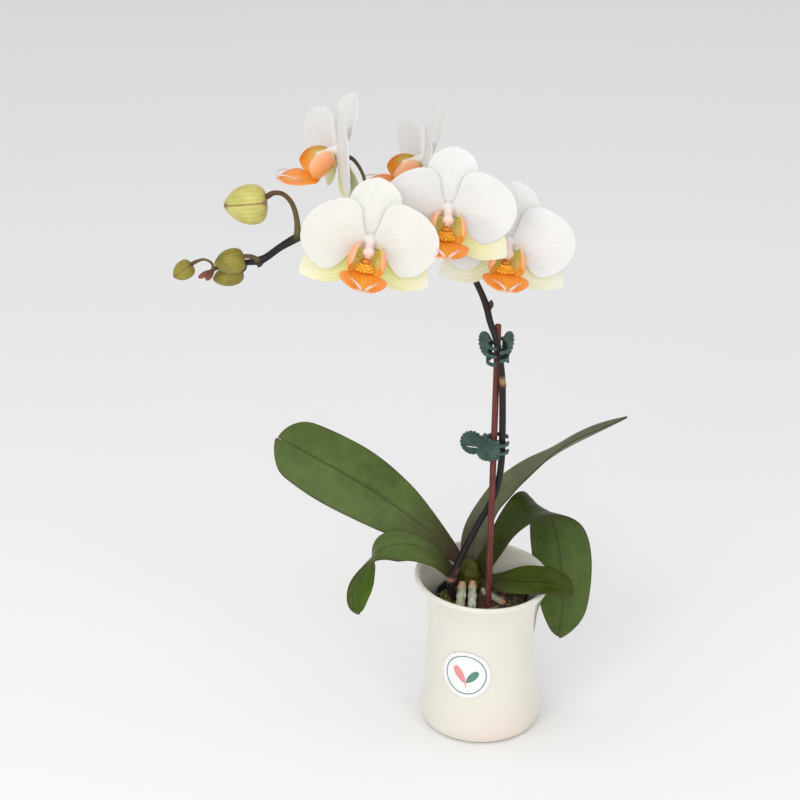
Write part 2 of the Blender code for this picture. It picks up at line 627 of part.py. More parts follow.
def jaw_shape(name, side, finger_levels, knuckle_levels, relief_levels, finish):
    """One jaw in the clip's own frame: plate, fingers, tab and hinge knuckles; side is -1 or 1."""
    def mirrored(line):
        return [(-side * x, y) for x, y in line]

    half = CLIP_HEIGHT / 2
    points, faces = bar_shape(mirrored(JAW_TAB[1:]), CLIP_WALL, -half, half)
    jaw = make_part(name, points, faces, finish, 35.0)
    shoulder = mirrored([JAW_TAB[1], *JAW_FINGER[:4]])
    points, faces = bar_shape(shoulder, CLIP_WALL, -half + 0.4, half - 0.4)
    cut_or_join(jaw, make_part("shoulder", points, faces, finish), "UNION")
    for level in finger_levels:
        bottom = level - FINGER_HEIGHT / 2
        points, faces = bar_shape(mirrored(JAW_FINGER[2:]), CLIP_WALL - 0.1, bottom, bottom + FINGER_HEIGHT)
        cut_or_join(jaw, make_part("finger", points, faces, finish), "UNION")
    for low, high in relief_levels:
        radius = HINGE_KNUCKLE_RADIUS + 0.4
        points, faces = turned_shape([(radius, low), (radius, high)], 16)
        cut_or_join(jaw, make_part("relief", points, faces, finish), "DIFFERENCE")
    for level in knuckle_levels:
        low = level - KNUCKLE_LENGTH / 2
        high = level + KNUCKLE_LENGTH / 2
        points, faces = turned_shape([(HINGE_KNUCKLE_RADIUS, low), (HINGE_KNUCKLE_RADIUS, high)], 14)
        cut_or_join(jaw, make_part("knuckle", points, faces, finish), "UNION")
        points, faces = bar_shape([(side * 1.5, 0.0), (side * 3.1, 0.0)], CLIP_WALL, low + 0.1, high - 0.1)
        cut_or_join(jaw, make_part("web", points, faces, finish), "UNION")
    return jaw


def build_spring(name, matrix, finish):
    """Coil around the pin with one leg lying against each tab."""
    inner = HINGE_PIN_RADIUS + GAP
    outline = [
        (SPRING_COIL_RADIUS, -SPRING_COIL_HALF), (SPRING_COIL_RADIUS, SPRING_COIL_HALF),
        (inner, SPRING_COIL_HALF), (inner, -SPRING_COIL_HALF),
    ]
    points = []
    for radius, height in outline:
        for side in range(14):
            angle = 2 * math.pi * side / 14
            points.append((radius * math.cos(angle), radius * math.sin(angle), height))
    faces = ring_faces(4, 14, capped=False)
    faces += [(side, (side + 1) % 14, 42 + (side + 1) % 14, 42 + side) for side in range(14)]
    spring = make_part(name, points, faces, finish)
    for side in (-1, 1):
        level = side * 1.7
        leg = [
            (side * 1.5, -0.8, level, SPRING_WIRE_RADIUS), (side * 2.0, -3.4, level, SPRING_WIRE_RADIUS),
            (side * 3.4, -6.8, level, SPRING_WIRE_RADIUS),
        ]
        points, faces = tube_shape(leg, 4, 6)
        cut_or_join(spring, make_part("leg", points, faces, finish), "UNION")
    settle(spring, matrix)


def settle(part, matrix):
    """Place a part that was built in its own millimetre frame, and leave its origin on its hinge."""
    shell = bmesh.new()
    shell.from_mesh(part.data)
    bmesh.ops.triangulate(shell, faces=shell.faces)
    shell.to_mesh(part.data)
    shell.free()
    part.matrix_world = Matrix.LocRotScale(matrix.to_translation() * MM, matrix.to_quaternion(), None)


def build_clip(name, clip, finishes):
    """A claw clip: fixed jaw with the pin, moving jaw that turns on it, and a wire spring."""
    matrix = Matrix.Translation(clip["hinge"]) @ Matrix.Rotation(math.radians(clip["turn"]), 4, "Z")
    half = CLIP_HEIGHT / 2
    outer = half - 0.2 - KNUCKLE_LENGTH / 2
    inner = outer - KNUCKLE_LENGTH - GAP
    plastic = finishes["plastic"]
    between = outer - KNUCKLE_LENGTH / 2 - GAP / 2
    reliefs = [(-between, between)]
    fixed = jaw_shape(f"{name}_fixed_jaw", -1, clip["fixed"], (-outer, outer), reliefs, plastic)
    points, faces = turned_shape([(HINGE_PIN_RADIUS, -half + 0.4), (HINGE_PIN_RADIUS, half - 0.4)], 12)
    cut_or_join(fixed, make_part("pin", points, faces, plastic), "UNION")
    settle(fixed, matrix)
    reliefs = [(-half - 1, -between), (between, half + 1), (-inner + 1.05, inner - 1.05)]
    moving = jaw_shape(f"{name}_moving_jaw", 1, clip["moving"], (-inner, inner), reliefs, plastic)
    bore = HINGE_PIN_RADIUS + GAP
    points, faces = turned_shape([(bore, -half - 1), (bore, half + 1)], 12)
    cut_or_join(moving, make_part("bore", points, faces, plastic), "DIFFERENCE")
    settle(moving, matrix)
    build_spring(f"{name}_spring", matrix, finishes["wire"])


def build_all():
    """Make every piece of the potted plant."""
    clear_scene()
    ceramic = make_finish("glazed_ceramic", (0.86, 0.83, 0.76), 0.18)
    paper = make_finish("label_vinyl", (0.92, 0.92, 0.90), 0.35)
    grower = make_finish("dark_plastic", (0.04, 0.06, 0.06), 0.5)
    bark = make_finish("bark_and_moss", (0.16, 0.10, 0.05), 0.9)
    leaf = make_finish("leaf_green", (0.07, 0.16, 0.03), 0.38)
    stem = make_finish("spike_purple", (0.06, 0.035, 0.04), 0.45)
    stick = make_finish("stake_red", (0.16, 0.04, 0.05), 0.5)
    root = make_finish("root_grey", (0.52, 0.55, 0.46), 0.7)
    bud = make_finish("bud_green", (0.50, 0.52, 0.18), 0.5)
    tepal = make_finish("petal_white", (0.92, 0.91, 0.86), 0.5)
    sepal = make_finish("sepal_cream", (0.85, 0.86, 0.62), 0.5)
    lip = make_finish("lip_orange", (0.95, 0.42, 0.12), 0.45)
    column = make_finish("column_white", (0.94, 0.86, 0.86), 0.45)
    plastic = make_finish("clip_plastic", (0.04, 0.12, 0.09), 0.4)
    wire = make_finish("spring_wire", (0.6, 0.6, 0.6), 0.25, 1.0)

    build_pot(ceramic)
    build_label(paper)
    build_grower_pot(grower)
    build_mix(bark)
    build_stake(stick)
    build_crown(leaf)
    for name, shape in LEAVES.items():
        build_leaf(name, shape, leaf)
    for name, keys in ROOTS.items():
        points, faces = tube_shape(keys, 7, 10)
        make_part(name, points, faces, root)
    build_spike(stem)
    for name, shape in BUDS.items():
        build_bud(name, shape, bud)
    for name, flower in FLOWERS.items():
        build_flower(name, flower, {"tepal": tepal, "sepal": sepal, "lip": lip, "column": column})
    for name, clip in (("clip_upper", CLIP_UPPER), ("clip_lower", CLIP_LOWER)):
        build_clip(name, clip, {"plastic": plastic, "wire": wire})


build_all()
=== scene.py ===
"""Looks for the potted moth orchid: petals, leaves, glaze, bark, clips and their finishes.

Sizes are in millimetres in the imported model's own frame and are scaled to metres as each piece is made.
A flower's own frame is x right, y up and z out of its face; a clip's own frame has its hinge along z.
"""
import math
import random

import bpy
import numpy as np
from mathutils import Matrix, Vector, noise


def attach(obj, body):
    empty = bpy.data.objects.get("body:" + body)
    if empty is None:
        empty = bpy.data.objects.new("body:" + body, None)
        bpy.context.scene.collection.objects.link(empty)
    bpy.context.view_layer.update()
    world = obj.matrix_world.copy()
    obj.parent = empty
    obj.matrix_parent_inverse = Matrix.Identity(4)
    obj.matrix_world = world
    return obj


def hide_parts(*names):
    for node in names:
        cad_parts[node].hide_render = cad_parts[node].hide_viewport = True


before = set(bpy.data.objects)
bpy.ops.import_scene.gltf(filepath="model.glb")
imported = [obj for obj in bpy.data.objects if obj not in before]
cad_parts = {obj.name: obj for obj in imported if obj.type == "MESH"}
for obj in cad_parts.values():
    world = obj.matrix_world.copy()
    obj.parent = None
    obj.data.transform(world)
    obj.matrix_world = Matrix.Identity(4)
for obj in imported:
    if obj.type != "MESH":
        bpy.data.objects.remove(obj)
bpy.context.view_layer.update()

MM = 0.001
PLANT = "plant"


# ---------------------------------------------------------------- shaping helpers

def deselect_all():
    """Leave edit mode and clear the selection."""
    if bpy.context.mode != "OBJECT":
        bpy.ops.object.mode_set(mode="OBJECT")
    bpy.ops.object.select_all(action="DESELECT")


def pick(piece):
    """Make one piece the only selected and active object."""
    deselect_all()
    piece.select_set(True)
    bpy.context.view_layer.objects.active = piece


def apply_modifier(piece, kind, **settings):
    """Add a modifier, set it up and apply it."""
    modifier = piece.modifiers.new(kind.lower(), kind)
    for key, value in settings.items():
        setattr(modifier, key, value)
    pick(piece)
    bpy.ops.object.modifier_apply(modifier=modifier.name)


def join_pieces(name, pieces):
    """Join pieces into one mesh that keeps each one's finish."""
    deselect_all()
    for piece in pieces:
        piece.select_set(True)
    bpy.context.view_layer.objects.active = pieces[0]
    bpy.ops.object.join()
    pieces[0].name = name
    return pieces[0]


def face_outwards(piece):
    """Merge doubles, then turn every face of a closed shell outwards."""
    pick(piece)
    bpy.ops.object.mode_set(mode="EDIT")
    bpy.ops.mesh.select_all(action="SELECT")
    bpy.ops.mesh.remove_doubles(threshold=0.000002)
    bpy.ops.mesh.normals_make_consistent(inside=False)
    bpy.ops.object.mode_set(mode="OBJECT")


def soften(piece, angle=None):
    """Shade a piece smooth, with edges sharper than an angle left crisp."""
    pick(piece)
    if angle is None:
        bpy.ops.object.shade_smooth()
    else:
        bpy.ops.object.shade_smooth_by_angle(angle=math.radians(angle))


def finish_with(piece, *finishes):
    """Give a piece its finishes, one for each material slot."""
    piece.data.materials.clear()
    for finish in finishes:
        piece.data.materials.append(finish)


def fix_in_place(piece):
    """Put a piece's place, turn and size into its mesh."""
    pick(piece)
    bpy.ops.object.transform_apply(location=True, rotation=True, scale=True)


def stand_for(piece, node, body=PLANT):
    """Let a finished piece ride on its body in place of its CAD node."""
    piece.name = node + "_skin"
    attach(piece, body)
    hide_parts(node)


def between_keys(keys, where):
    """Smooth values at a place along given rows; each row is a place and then its values."""
    span = 0
    while span < len(keys) - 2 and where > keys[span + 1][0]:
        span += 1
    start, end = keys[span], keys[span + 1]
    before, after = keys[max(span - 1, 0)], keys[min(span + 2, len(keys) - 1)]
    width = end[0] - start[0]
    t = min(max((where - start[0]) / width, 0.0), 1.0)
    values = []
    for column in range(1, len(start)):
        leave = (end[column] - before[column]) / (end[0] - before[0]) * width
        arrive = (after[column] - start[column]) / (after[0] - start[0]) * width
        rise = end[column] - start[column]
        values.append(start[column] + leave * t + (3 * rise - 2 * leave - arrive) * t * t
                      + (leave + arrive - 2 * rise) * t ** 3)
    return values


def curve_through(keys, places):
    """Smooth curve through rows of numbers, sampled at shares of its length."""
    rows = np.array(keys, dtype=float)
    ends = np.vstack([2 * rows[0] - rows[1], rows, 2 * rows[-1] - rows[-2]])
    fine = []
    steps = 24
    for span in range(len(rows) - 1):
        before, start, end, after = ends[span:span + 4]
        for step in range(steps):
            t = step / steps
            fine.append(0.5 * (2 * start + (end - before) * t
                               + (2 * before - 5 * start + 4 * end - after) * t ** 2
                               + (3 * start - before - 3 * end + after) * t ** 3))
    fine = np.array(fine + [rows[-1]])
    lengths = np.linalg.norm(np.diff(fine[:, :3], axis=0), axis=1)
    along = np.concatenate([[0.0], np.cumsum(lengths)]) / lengths.sum()
    return np.array([[np.interp(place, along, column) for column in fine.T] for place in places])


def shaped_grid(name, columns, rows, place):
    """A flat grid whose corners are each carried to their place on a curved sheet."""
    deselect_all()
    bpy.ops.mesh.primitive_grid_add(x_subdivisions=columns, y_subdivisions=rows, size=2.0)
    sheet = bpy.context.object
    sheet.name = name
    for corner in sheet.data.vertices:
        corner.co = Vector(place(corner.co.x, (corner.co.y + 1.0) / 2.0)) * MM
    return sheet


def thicken(sheet, thickness, offset=0.0, smoothing=1, under=False):
    """Give a sheet its thickness and round its edges; under sends the back to the second finish."""
    apply_modifier(sheet, "SOLIDIFY", thickness=thickness * MM, offset=offset,
                   material_offset=1 if under else 0)
    if smoothing:
        apply_modifier(sheet, "SUBSURF", levels=smoothing, render_levels=smoothing)
    soften(sheet)


def tube(name, keys, count, sides=3):
    """A round tube through rows of x, y, z and radius, with closed ends."""
    line = bpy.data.curves.new(name, "CURVE")
    line.dimensions = "3D"
    line.bevel_depth = MM
    line.bevel_resolution = sides
    line.use_fill_caps = True
    spline = line.splines.new("POLY")
    rows = curve_through(keys, np.linspace(0.0, 1.0, count))
    spline.points.add(len(rows) - 1)
    for point, row in zip(spline.points, rows):
        point.co = (*(row[:3] * MM), 1.0)
        point.radius = row[3]
    piece = bpy.data.objects.new(name, line)
    bpy.context.scene.collection.objects.link(piece)
    pick(piece)
    bpy.ops.object.convert(target="MESH")
    piece = bpy.context.object
    face_outwards(piece)
    return piece


def turned(name, outline, sides):
    """A round form drawn up ring by ring from a circle; outline rows are radius and height."""
    deselect_all()
    radius, height = outline[0]
    bpy.ops.mesh.primitive_circle_add(vertices=sides, radius=radius * MM, fill_type="NGON",
                                      location=(0.0, 0.0, height * MM))
    piece = bpy.context.object
    piece.name = name
    fix_in_place(piece)
    bpy.ops.object.mode_set(mode="EDIT")
    bpy.ops.mesh.select_all(action="SELECT")
    for (radius, height), (next_radius, next_height) in zip(outline, outline[1:]):
        bpy.ops.mesh.extrude_region_move(
            TRANSFORM_OT_translate={"value": (0.0, 0.0, (next_height - height) * MM)})
        share = next_radius / radius
        bpy.ops.transform.resize(value=(share, share, 1.0), center_override=(0.0, 0.0, next_height * MM))
    bpy.ops.object.mode_set(mode="OBJECT")
    face_outwards(piece)
    return piece


# ---------------------------------------------------------------- finish helpers

def start_finish(name, roughness):
    """A node material with its shader's even roughness set."""
    finish = bpy.data.materials.new(name)
    finish.use_nodes = True
    tree = finish.node_tree
    shader = tree.nodes["Principled BSDF"]
    shader.inputs["Roughness"].default_value = roughness
    return finish, tree, shader


def plug(tree, value, socket):
    """Feed a socket from another socket, a number or a colour."""
    if isinstance(value, bpy.types.NodeSocket):
        tree.links.new(value, socket)
    elif isinstance(value, tuple) and len(value) == 3 and socket.type == "RGBA":
        socket.default_value = (*value, 1.0)
    else:
        socket.default_value = value


def calc(tree, operation, first, second=0.0, third=0.0):
    """One arithmetic step."""
    node = tree.nodes.new("ShaderNodeMath")
    node.operation = operation
    for value, socket in zip((first, second, third), node.inputs):
        plug(tree, value, socket)
    return node.outputs[0]


def blend(tree, share, first, second, mode="MIX"):
    """Mix two colours."""
    node = tree.nodes.new("ShaderNodeMix")
    node.data_type = "RGBA"
    node.blend_type = mode
    plug(tree, share, node.inputs[0])
    plug(tree, first, node.inputs[6])
    plug(tree, second, node.inputs[7])
    return node.outputs[2]


def ramp(tree, value, *stops):
    """Colours or greys along a value; each stop is a place and a colour or a number."""
    node = tree.nodes.new("ShaderNodeValToRGB")
    elements = node.color_ramp.elements
    elements.remove(elements[1])
    low, high = stops[0][0], stops[-1][0]
    for index, (place, colour) in enumerate(stops):
        if not isinstance(colour, tuple):
            colour = (colour, colour, colour)
        place = (place - low) / (high - low)
        element = elements[0] if index == 0 else elements.new(place)
        element.position = place
        element.color = (*colour, 1.0)
    rescaled = calc(tree, "DIVIDE", calc(tree, "SUBTRACT", value, low), high - low)
    plug(tree, rescaled, node.inputs["Fac"])
    return node.outputs["Color"]


def spread(tree, where, size):
    """Coordinates stretched along each axis."""
    node = tree.nodes.new("ShaderNodeMapping")
    node.inputs["Scale"].default_value = size
    tree.links.new(where, node.inputs["Vector"])
    return node.outputs["Vector"]


def object_place(tree):
    """Place on the piece, in metres."""
    return tree.nodes.new("ShaderNodeTexCoord").outputs["Object"]


def sheet_place(tree):
    """Place on a sheet: across and along, each from 0 to 1, and both together."""
    both = tree.nodes.new("ShaderNodeTexCoord").outputs["UV"]
    split = tree.nodes.new("ShaderNodeSeparateXYZ")
    tree.links.new(both, split.inputs[0])
    return split.outputs["X"], split.outputs["Y"], both


def clouds(tree, where, scale, detail=3.0, distortion=0.0):
    """Soft noise from 0 to 1."""
    node = tree.nodes.new("ShaderNodeTexNoise")
    node.inputs["Scale"].default_value = scale
    node.inputs["Detail"].default_value = detail
    node.inputs["Distortion"].default_value = distortion
    tree.links.new(where, node.inputs["Vector"])
    return node.outputs["Fac"]


def cells(tree, where, scale, feature="F1"):
    """Distance to scattered points."""
    node = tree.nodes.new("ShaderNodeTexVoronoi")
    node.feature = feature
    node.inputs["Scale"].default_value = scale
    tree.links.new(where, node.inputs["Vector"])
    return node.outputs["Distance"]


def ridges(tree, across, count, wander, strength):
    """Fine parallel lines over a sheet, as veins run; wander is a noise that bends them."""
    phase = calc(tree, "ADD", calc(tree, "MULTIPLY", across, count * 2 * math.pi),
                 calc(tree, "MULTIPLY", wander, strength))
    return calc(tree, "MULTIPLY_ADD", calc(tree, "SINE", phase), 0.5, 0.5)


def emboss(tree, shader, height, depth, strength=1.0):
    """Bump the surface by a height in metres."""
    node = tree.nodes.new("ShaderNodeBump")
    node.inputs["Strength"].default_value = strength
    node.inputs["Distance"].default_value = depth
    plug(tree, height, node.inputs["Height"])
    tree.links.new(node.outputs["Normal"], shader.inputs["Normal"])


# ---------------------------------------------------------------- finishes

def petal_finish(name, warm):
    """White petal skin: faint warmth, fine veins and a soft, slightly waxy glow."""
    finish, tree, shader = start_finish(name, 0.48)
    across, along, both = sheet_place(tree)
    patches = clouds(tree, object_place(tree), 70.0, 4.0)
    skin = ramp(tree, patches, (0.30, (0.745, 0.74, 0.715 - warm)),
                (0.70, (0.785, 0.78, 0.765 - 0.7 * warm)))
    throat = ramp(tree, along, (0.0, 1.0), (0.30, 0.0))
    skin = blend(tree, calc(tree, "MULTIPLY", throat, 0.45), skin, (0.80, 0.71, 0.68))
    wander = clouds(tree, both, 3.0, 2.0)
    veins = ridges(tree, across, 15.0, wander, 5.0)
    vein_mask = calc(tree, "MULTIPLY", calc(tree, "POWER", veins, 5.0), 0.05)
    skin = blend(tree, vein_mask, skin, (0.62, 0.62, 0.56))
    plug(tree, skin, shader.inputs["Base Color"])
    grain = calc(tree, "MULTIPLY", clouds(tree, object_place(tree), 2600.0, 2.0), 0.25)
    emboss(tree, shader, calc(tree, "ADD", calc(tree, "MULTIPLY", veins, -0.6), grain), 0.0003, 0.20)
    shader.inputs["Subsurface Weight"].default_value = 0.40
    shader.inputs["Subsurface Radius"].default_value = (0.9, 0.8, 0.7)
    shader.inputs["Subsurface Scale"].default_value = 0.004
    shader.inputs["Specular IOR Level"].default_value = 0.30
    shader.inputs["Sheen Weight"].default_value = 0.05
    return finish


def petal_back_finish():
    """Back of the petals: greyer white, pink-purple towards the margins and the base."""
    finish, tree, shader = start_finish("petal_back", 0.55)
    across, along, both = sheet_place(tree)
    edge = calc(tree, "ABSOLUTE", calc(tree, "SUBTRACT", calc(tree, "MULTIPLY", across, 2.0), 1.0))
    pink_tint_share = ramp(tree, calc(tree, "MULTIPLY", edge, calc(tree, "ADD", along, 0.25)), (0.80, 0.0),
                 (1.16, 1.0))
    skin = ramp(tree, clouds(tree, object_place(tree), 60.0, 4.0), (0.3, (0.76, 0.75, 0.74)),
                (0.7, (0.81, 0.80, 0.79)))
    skin = blend(tree, calc(tree, "MULTIPLY", pink_tint_share, 0.85), skin, (0.58, 0.36, 0.56))
    root_tint = ramp(tree, along, (0.0, 1.0), (0.12, 0.0))
    skin = blend(tree, calc(tree, "MULTIPLY", root_tint, 0.6), skin, (0.55, 0.30, 0.42))
    veins = ridges(tree, across, 12.0, clouds(tree, both, 3.0, 2.0), 5.0)
    skin = blend(tree, calc(tree, "MULTIPLY", calc(tree, "POWER", veins, 4.0), 0.10), skin,
                 (0.70, 0.60, 0.64))
    plug(tree, skin, shader.inputs["Base Color"])
    emboss(tree, shader, veins, 0.0003, 0.4)
    shader.inputs["Subsurface Weight"].default_value = 0.15
    shader.inputs["Subsurface Radius"].default_value = (0.9, 0.8, 0.6)
    shader.inputs["Subsurface Scale"].default_value = 0.003
    return finish


def sepal_finish(name, greenness):
    """Lateral sepal skin: yellow-green with olive veins near the throat, cream at the tip."""
    finish, tree, shader = start_finish(name, 0.48)
    across, along, both = sheet_place(tree)
    wander = clouds(tree, both, 4.0, 3.0)
    reach = calc(tree, "ADD", along, calc(tree, "MULTIPLY", calc(tree, "SUBTRACT", wander, 0.5), 0.25))
    skin = ramp(tree, reach, (0.05, (0.42, 0.44, 0.05)), (0.34, (0.66, 0.65, 0.19)),
                (0.62, (0.78, 0.76, 0.44)), (0.92, (0.83, 0.81, 0.66)))
    skin = blend(tree, 1.0 - greenness, skin, (0.80, 0.79, 0.75))
    veins = ridges(tree, across, 11.0, wander, 4.0)
    near = ramp(tree, along, (0.0, 0.75), (0.45, 0.12), (0.8, 0.03))
    mask = calc(tree, "MULTIPLY", calc(tree, "POWER", veins, 4.0), near)
    skin = blend(tree, mask, skin, (0.34, 0.30, 0.06))
    plug(tree, skin, shader.inputs["Base Color"])
    emboss(tree, shader, veins, 0.0003, 0.35)
    shader.inputs["Subsurface Weight"].default_value = 0.18
    shader.inputs["Subsurface Radius"].default_value = (0.9, 0.8, 0.5)
    shader.inputs["Subsurface Scale"].default_value = 0.003
    shader.inputs["Specular IOR Level"].default_value = 0.35
    return finish


def side_lobe_finish():
    """Side lobe of the lip: peach-pink at its top, orange low down, striped inside the cup."""
    finish, tree, shader = start_finish("lip_side_lobe", 0.42)
    across, along, both = sheet_place(tree)
    height = calc(tree, "ADD", along, calc(tree, "MULTIPLY", clouds(tree, both, 5.0, 3.0), 0.2))
    skin = ramp(tree, height, (0.10, (0.94, 0.42, 0.06)), (0.50, (0.92, 0.34, 0.07)),
                (0.85, (0.91, 0.38, 0.16)), (1.12, (0.92, 0.49, 0.33)))
    back = ramp(tree, across, (0.0, 1.0), (0.55, 0.0))
    skin = blend(tree, calc(tree, "MULTIPLY", back, 0.40), skin, (0.92, 0.48, 0.36))
    veins = ridges(tree, across, 7.0, clouds(tree, both, 4.0, 2.0), 4.0)
    skin = blend(tree, calc(tree, "MULTIPLY", calc(tree, "POWER", veins, 4.0), 0.10), skin,
                 (0.78, 0.22, 0.06))
    plug(tree, skin, shader.inputs["Base Color"])
    emboss(tree, shader, veins, 0.0003, 0.3)
    shader.inputs["Subsurface Weight"].default_value = 0.2
    shader.inputs["Subsurface Radius"].default_value = (1.0, 0.5, 0.2)
    shader.inputs["Subsurface Scale"].default_value = 0.002
    return finish


def throat_finish(name, front):
    """Inside of the lip: yellow-green deep in the throat, with short red-brown flecks towards the front."""
    finish, tree, shader = start_finish(name, 0.40)
    across, along, both = sheet_place(tree)
    depth = calc(tree, "ADD", across, calc(tree, "MULTIPLY", clouds(tree, both, 5.0, 3.0), 0.25))
    skin = ramp(tree, depth, (0.10, (0.76, 0.74, 0.16)), (0.45, (0.86, 0.72, 0.24)), (0.80, front))
    flecks = cells(tree, spread(tree, both, (26.0, 9.0, 1.0)), 1.0)
    mask = calc(tree, "MULTIPLY", ramp(tree, flecks, (0.22, 1.0), (0.36, 0.0)),
                ramp(tree, along, (0.22, 0.55), (0.50, 0.0)))
    skin = blend(tree, mask, skin, (0.36, 0.09, 0.02))
    plug(tree, skin, shader.inputs["Base Color"])
    emboss(tree, shader, clouds(tree, both, 30.0, 2.0), 0.0003, 0.3)
    shader.inputs["Subsurface Weight"].default_value = 0.15
    shader.inputs["Subsurface Radius"].default_value = (1.0, 0.6, 0.2)
    shader.inputs["Subsurface Scale"].default_value = 0.002
    return finish


def mid_lobe_finish():
    """Middle lobe of the lip: saturated orange with a yellow keel and a satin shine."""
    finish, tree, shader = start_finish("lip_mid_lobe", 0.34)
    across, along, both = sheet_place(tree)
    edge = calc(tree, "ABSOLUTE", calc(tree, "SUBTRACT", calc(tree, "MULTIPLY", across, 2.0), 1.0))
    patches = clouds(tree, object_place(tree), 220.0, 4.0)
    span = calc(tree, "ADD", edge, calc(tree, "MULTIPLY", patches, 0.3))
    skin = ramp(tree, span, (0.08, (0.96, 0.47, 0.05)), (0.35, (0.95, 0.34, 0.035)),
                (1.15, (0.90, 0.27, 0.03)))
    veins = ridges(tree, across, 10.0, clouds(tree, both, 3.0, 3.0), 4.0)
    skin = blend(tree, calc(tree, "MULTIPLY", calc(tree, "POWER", veins, 3.0), 0.22), skin,
                 (0.80, 0.16, 0.02))
    tip = ramp(tree, along, (0.86, 0.0), (1.0, 0.55))
    skin = blend(tree, tip, skin, (0.88, 0.72, 0.74))
    plug(tree, skin, shader.inputs["Base Color"])
    grain = clouds(tree, object_place(tree), 900.0, 2.0)
    emboss(tree, shader, calc(tree, "ADD", veins, grain), 0.0004, 0.35)
    shader.inputs["Subsurface Weight"].default_value = 0.15
    shader.inputs["Subsurface Radius"].default_value = (1.0, 0.5, 0.2)
    shader.inputs["Subsurface Scale"].default_value = 0.002
    shader.inputs["Coat Weight"].default_value = 0.15
    return finish


def callus_finish(name, dark, light, freckled):
    """Warty callus: waxy, with red-brown freckles."""
    finish, tree, shader = start_finish(name, 0.35)
    place = object_place(tree)
    freckles = cells(tree, place, 900.0)
    skin = ramp(tree, clouds(tree, place, 400.0, 3.0), (0.35, dark), (0.7, light))
    spots = ramp(tree, freckles, (0.22, 1.0), (0.36, 0.0))
    skin = blend(tree, calc(tree, "MULTIPLY", spots, freckled), skin, (0.55, 0.07, 0.02))
    plug(tree, skin, shader.inputs["Base Color"])
    emboss(tree, shader, clouds(tree, place, 700.0, 2.0), 0.0004, 0.5)
    shader.inputs["Coat Weight"].default_value = 0.2
    return finish


def cirrus_finish():
    """Whitish lilac tips that fold back from the lip."""
    finish, tree, shader = start_finish("lip_cirrus", 0.4)
    across, along, both = sheet_place(tree)
    skin = ramp(tree, along, (0.0, (0.90, 0.46, 0.22)), (0.25, (0.80, 0.62, 0.58)),
                (1.0, (0.66, 0.55, 0.62)))
    veins = ridges(tree, across, 4.0, clouds(tree, both, 4.0), 2.0)
    skin = blend(tree, calc(tree, "MULTIPLY", veins, 0.15), skin, (0.72, 0.50, 0.60))
    plug(tree, skin, shader.inputs["Base Color"])
    emboss(tree, shader, veins, 0.0003, 0.4)
    shader.inputs["Subsurface Weight"].default_value = 0.15
    shader.inputs["Subsurface Scale"].default_value = 0.002
    return finish


def column_finish():
    """Column: waxy pinkish white, peach where it meets the lip."""
    finish, tree, shader = start_finish("column_wax", 0.36)
    place = object_place(tree)
    grown = tree.nodes.new("ShaderNodeAttribute")
    grown.attribute_name = "reach"
    reach = calc(tree, "ADD", grown.outputs["Fac"],
                 calc(tree, "MULTIPLY", clouds(tree, place, 260.0, 3.0), 0.2))
    skin = ramp(tree, reach, (0.30, (0.80, 0.785, 0.76)), (0.62, (0.82, 0.72, 0.68)),
                (0.80, (0.84, 0.62, 0.54)), (0.98, (0.84, 0.72, 0.67)), (1.12, (0.84, 0.62, 0.50)))
    plug(tree, skin, shader.inputs["Base Color"])
    emboss(tree, shader, clouds(tree, place, 1500.0, 2.0), 0.0003, 0.3)
    shader.inputs["Subsurface Weight"].default_value = 0.3
    shader.inputs["Subsurface Radius"].default_value = (1.0, 0.6, 0.45)
    shader.inputs["Subsurface Scale"].default_value = 0.003
    return finish


def leaf_finish(name, light, deep, purple):
    """Leathery leaf: mottled green, painted shade along the sunken midrib, fine lengthwise veins and
    purple-brown margins.
    """
    finish, tree, shader = start_finish(name, 0.40)
    across, along, both = sheet_place(tree)
    place = object_place(tree)
    patches = calc(tree, "ADD", calc(tree, "MULTIPLY", clouds(tree, place, 28.0, 5.0, 0.6), 0.65),
                   calc(tree, "MULTIPLY", clouds(tree, place, 160.0, 4.0), 0.35))
    skin = ramp(tree, patches, (0.34, deep), (0.66, light))
    wander = clouds(tree, both, 2.0, 2.0)
    veins = ridges(tree, across, 24.0, wander, 3.0)
    skin = blend(tree, calc(tree, "MULTIPLY", veins, 0.05), skin, tuple(0.55 * part for part in deep))
    middle = calc(tree, "ABSOLUTE", calc(tree, "SUBTRACT", calc(tree, "MULTIPLY", across, 2.0), 1.0))
    # painted shade: the midrib is darkened as shade lying in its sunken groove
    rib = ramp(tree, middle, (0.0, 1.0), (0.022, 0.75), (0.06, 0.0))
    skin = blend(tree, calc(tree, "MULTIPLY", rib, 0.55), skin, tuple(0.38 * part for part in deep))
    ragged = calc(tree, "ADD", middle, calc(tree, "MULTIPLY", clouds(tree, place, 90.0, 4.0), 0.10))
    margin = ramp(tree, ragged, (0.985, 0.0), (1.045, 1.0))
    skin = blend(tree, calc(tree, "MULTIPLY", margin, 0.6), skin, (0.060, 0.026, 0.018))
    flush = calc(tree, "ADD", along, calc(tree, "MULTIPLY", clouds(tree, place, 50.0, 4.0), 0.16))
    base = ramp(tree, flush, (0.10, purple), (0.34, 0.0))
    skin = blend(tree, base, skin, (0.050, 0.028, 0.020))
    tip = ramp(tree, flush, (1.03, 0.0), (1.11, 0.55))
    skin = blend(tree, tip, skin, (0.11, 0.05, 0.035))
    plug(tree, skin, shader.inputs["Base Color"])
    relief = calc(tree, "ADD", calc(tree, "MULTIPLY", veins, 0.18),
                  calc(tree, "MULTIPLY", clouds(tree, place, 1400.0, 3.0), 0.55))
    relief = calc(tree, "ADD", relief, calc(tree, "MULTIPLY", clouds(tree, place, 45.0, 3.0), 1.5))
    emboss(tree, shader, relief, 0.0005, 0.45)
    plug(tree, ramp(tree, patches, (0.3, 0.34), (0.7, 0.48)), shader.inputs["Roughness"])
    shader.inputs["Specular IOR Level"].default_value = 0.15
    return finish


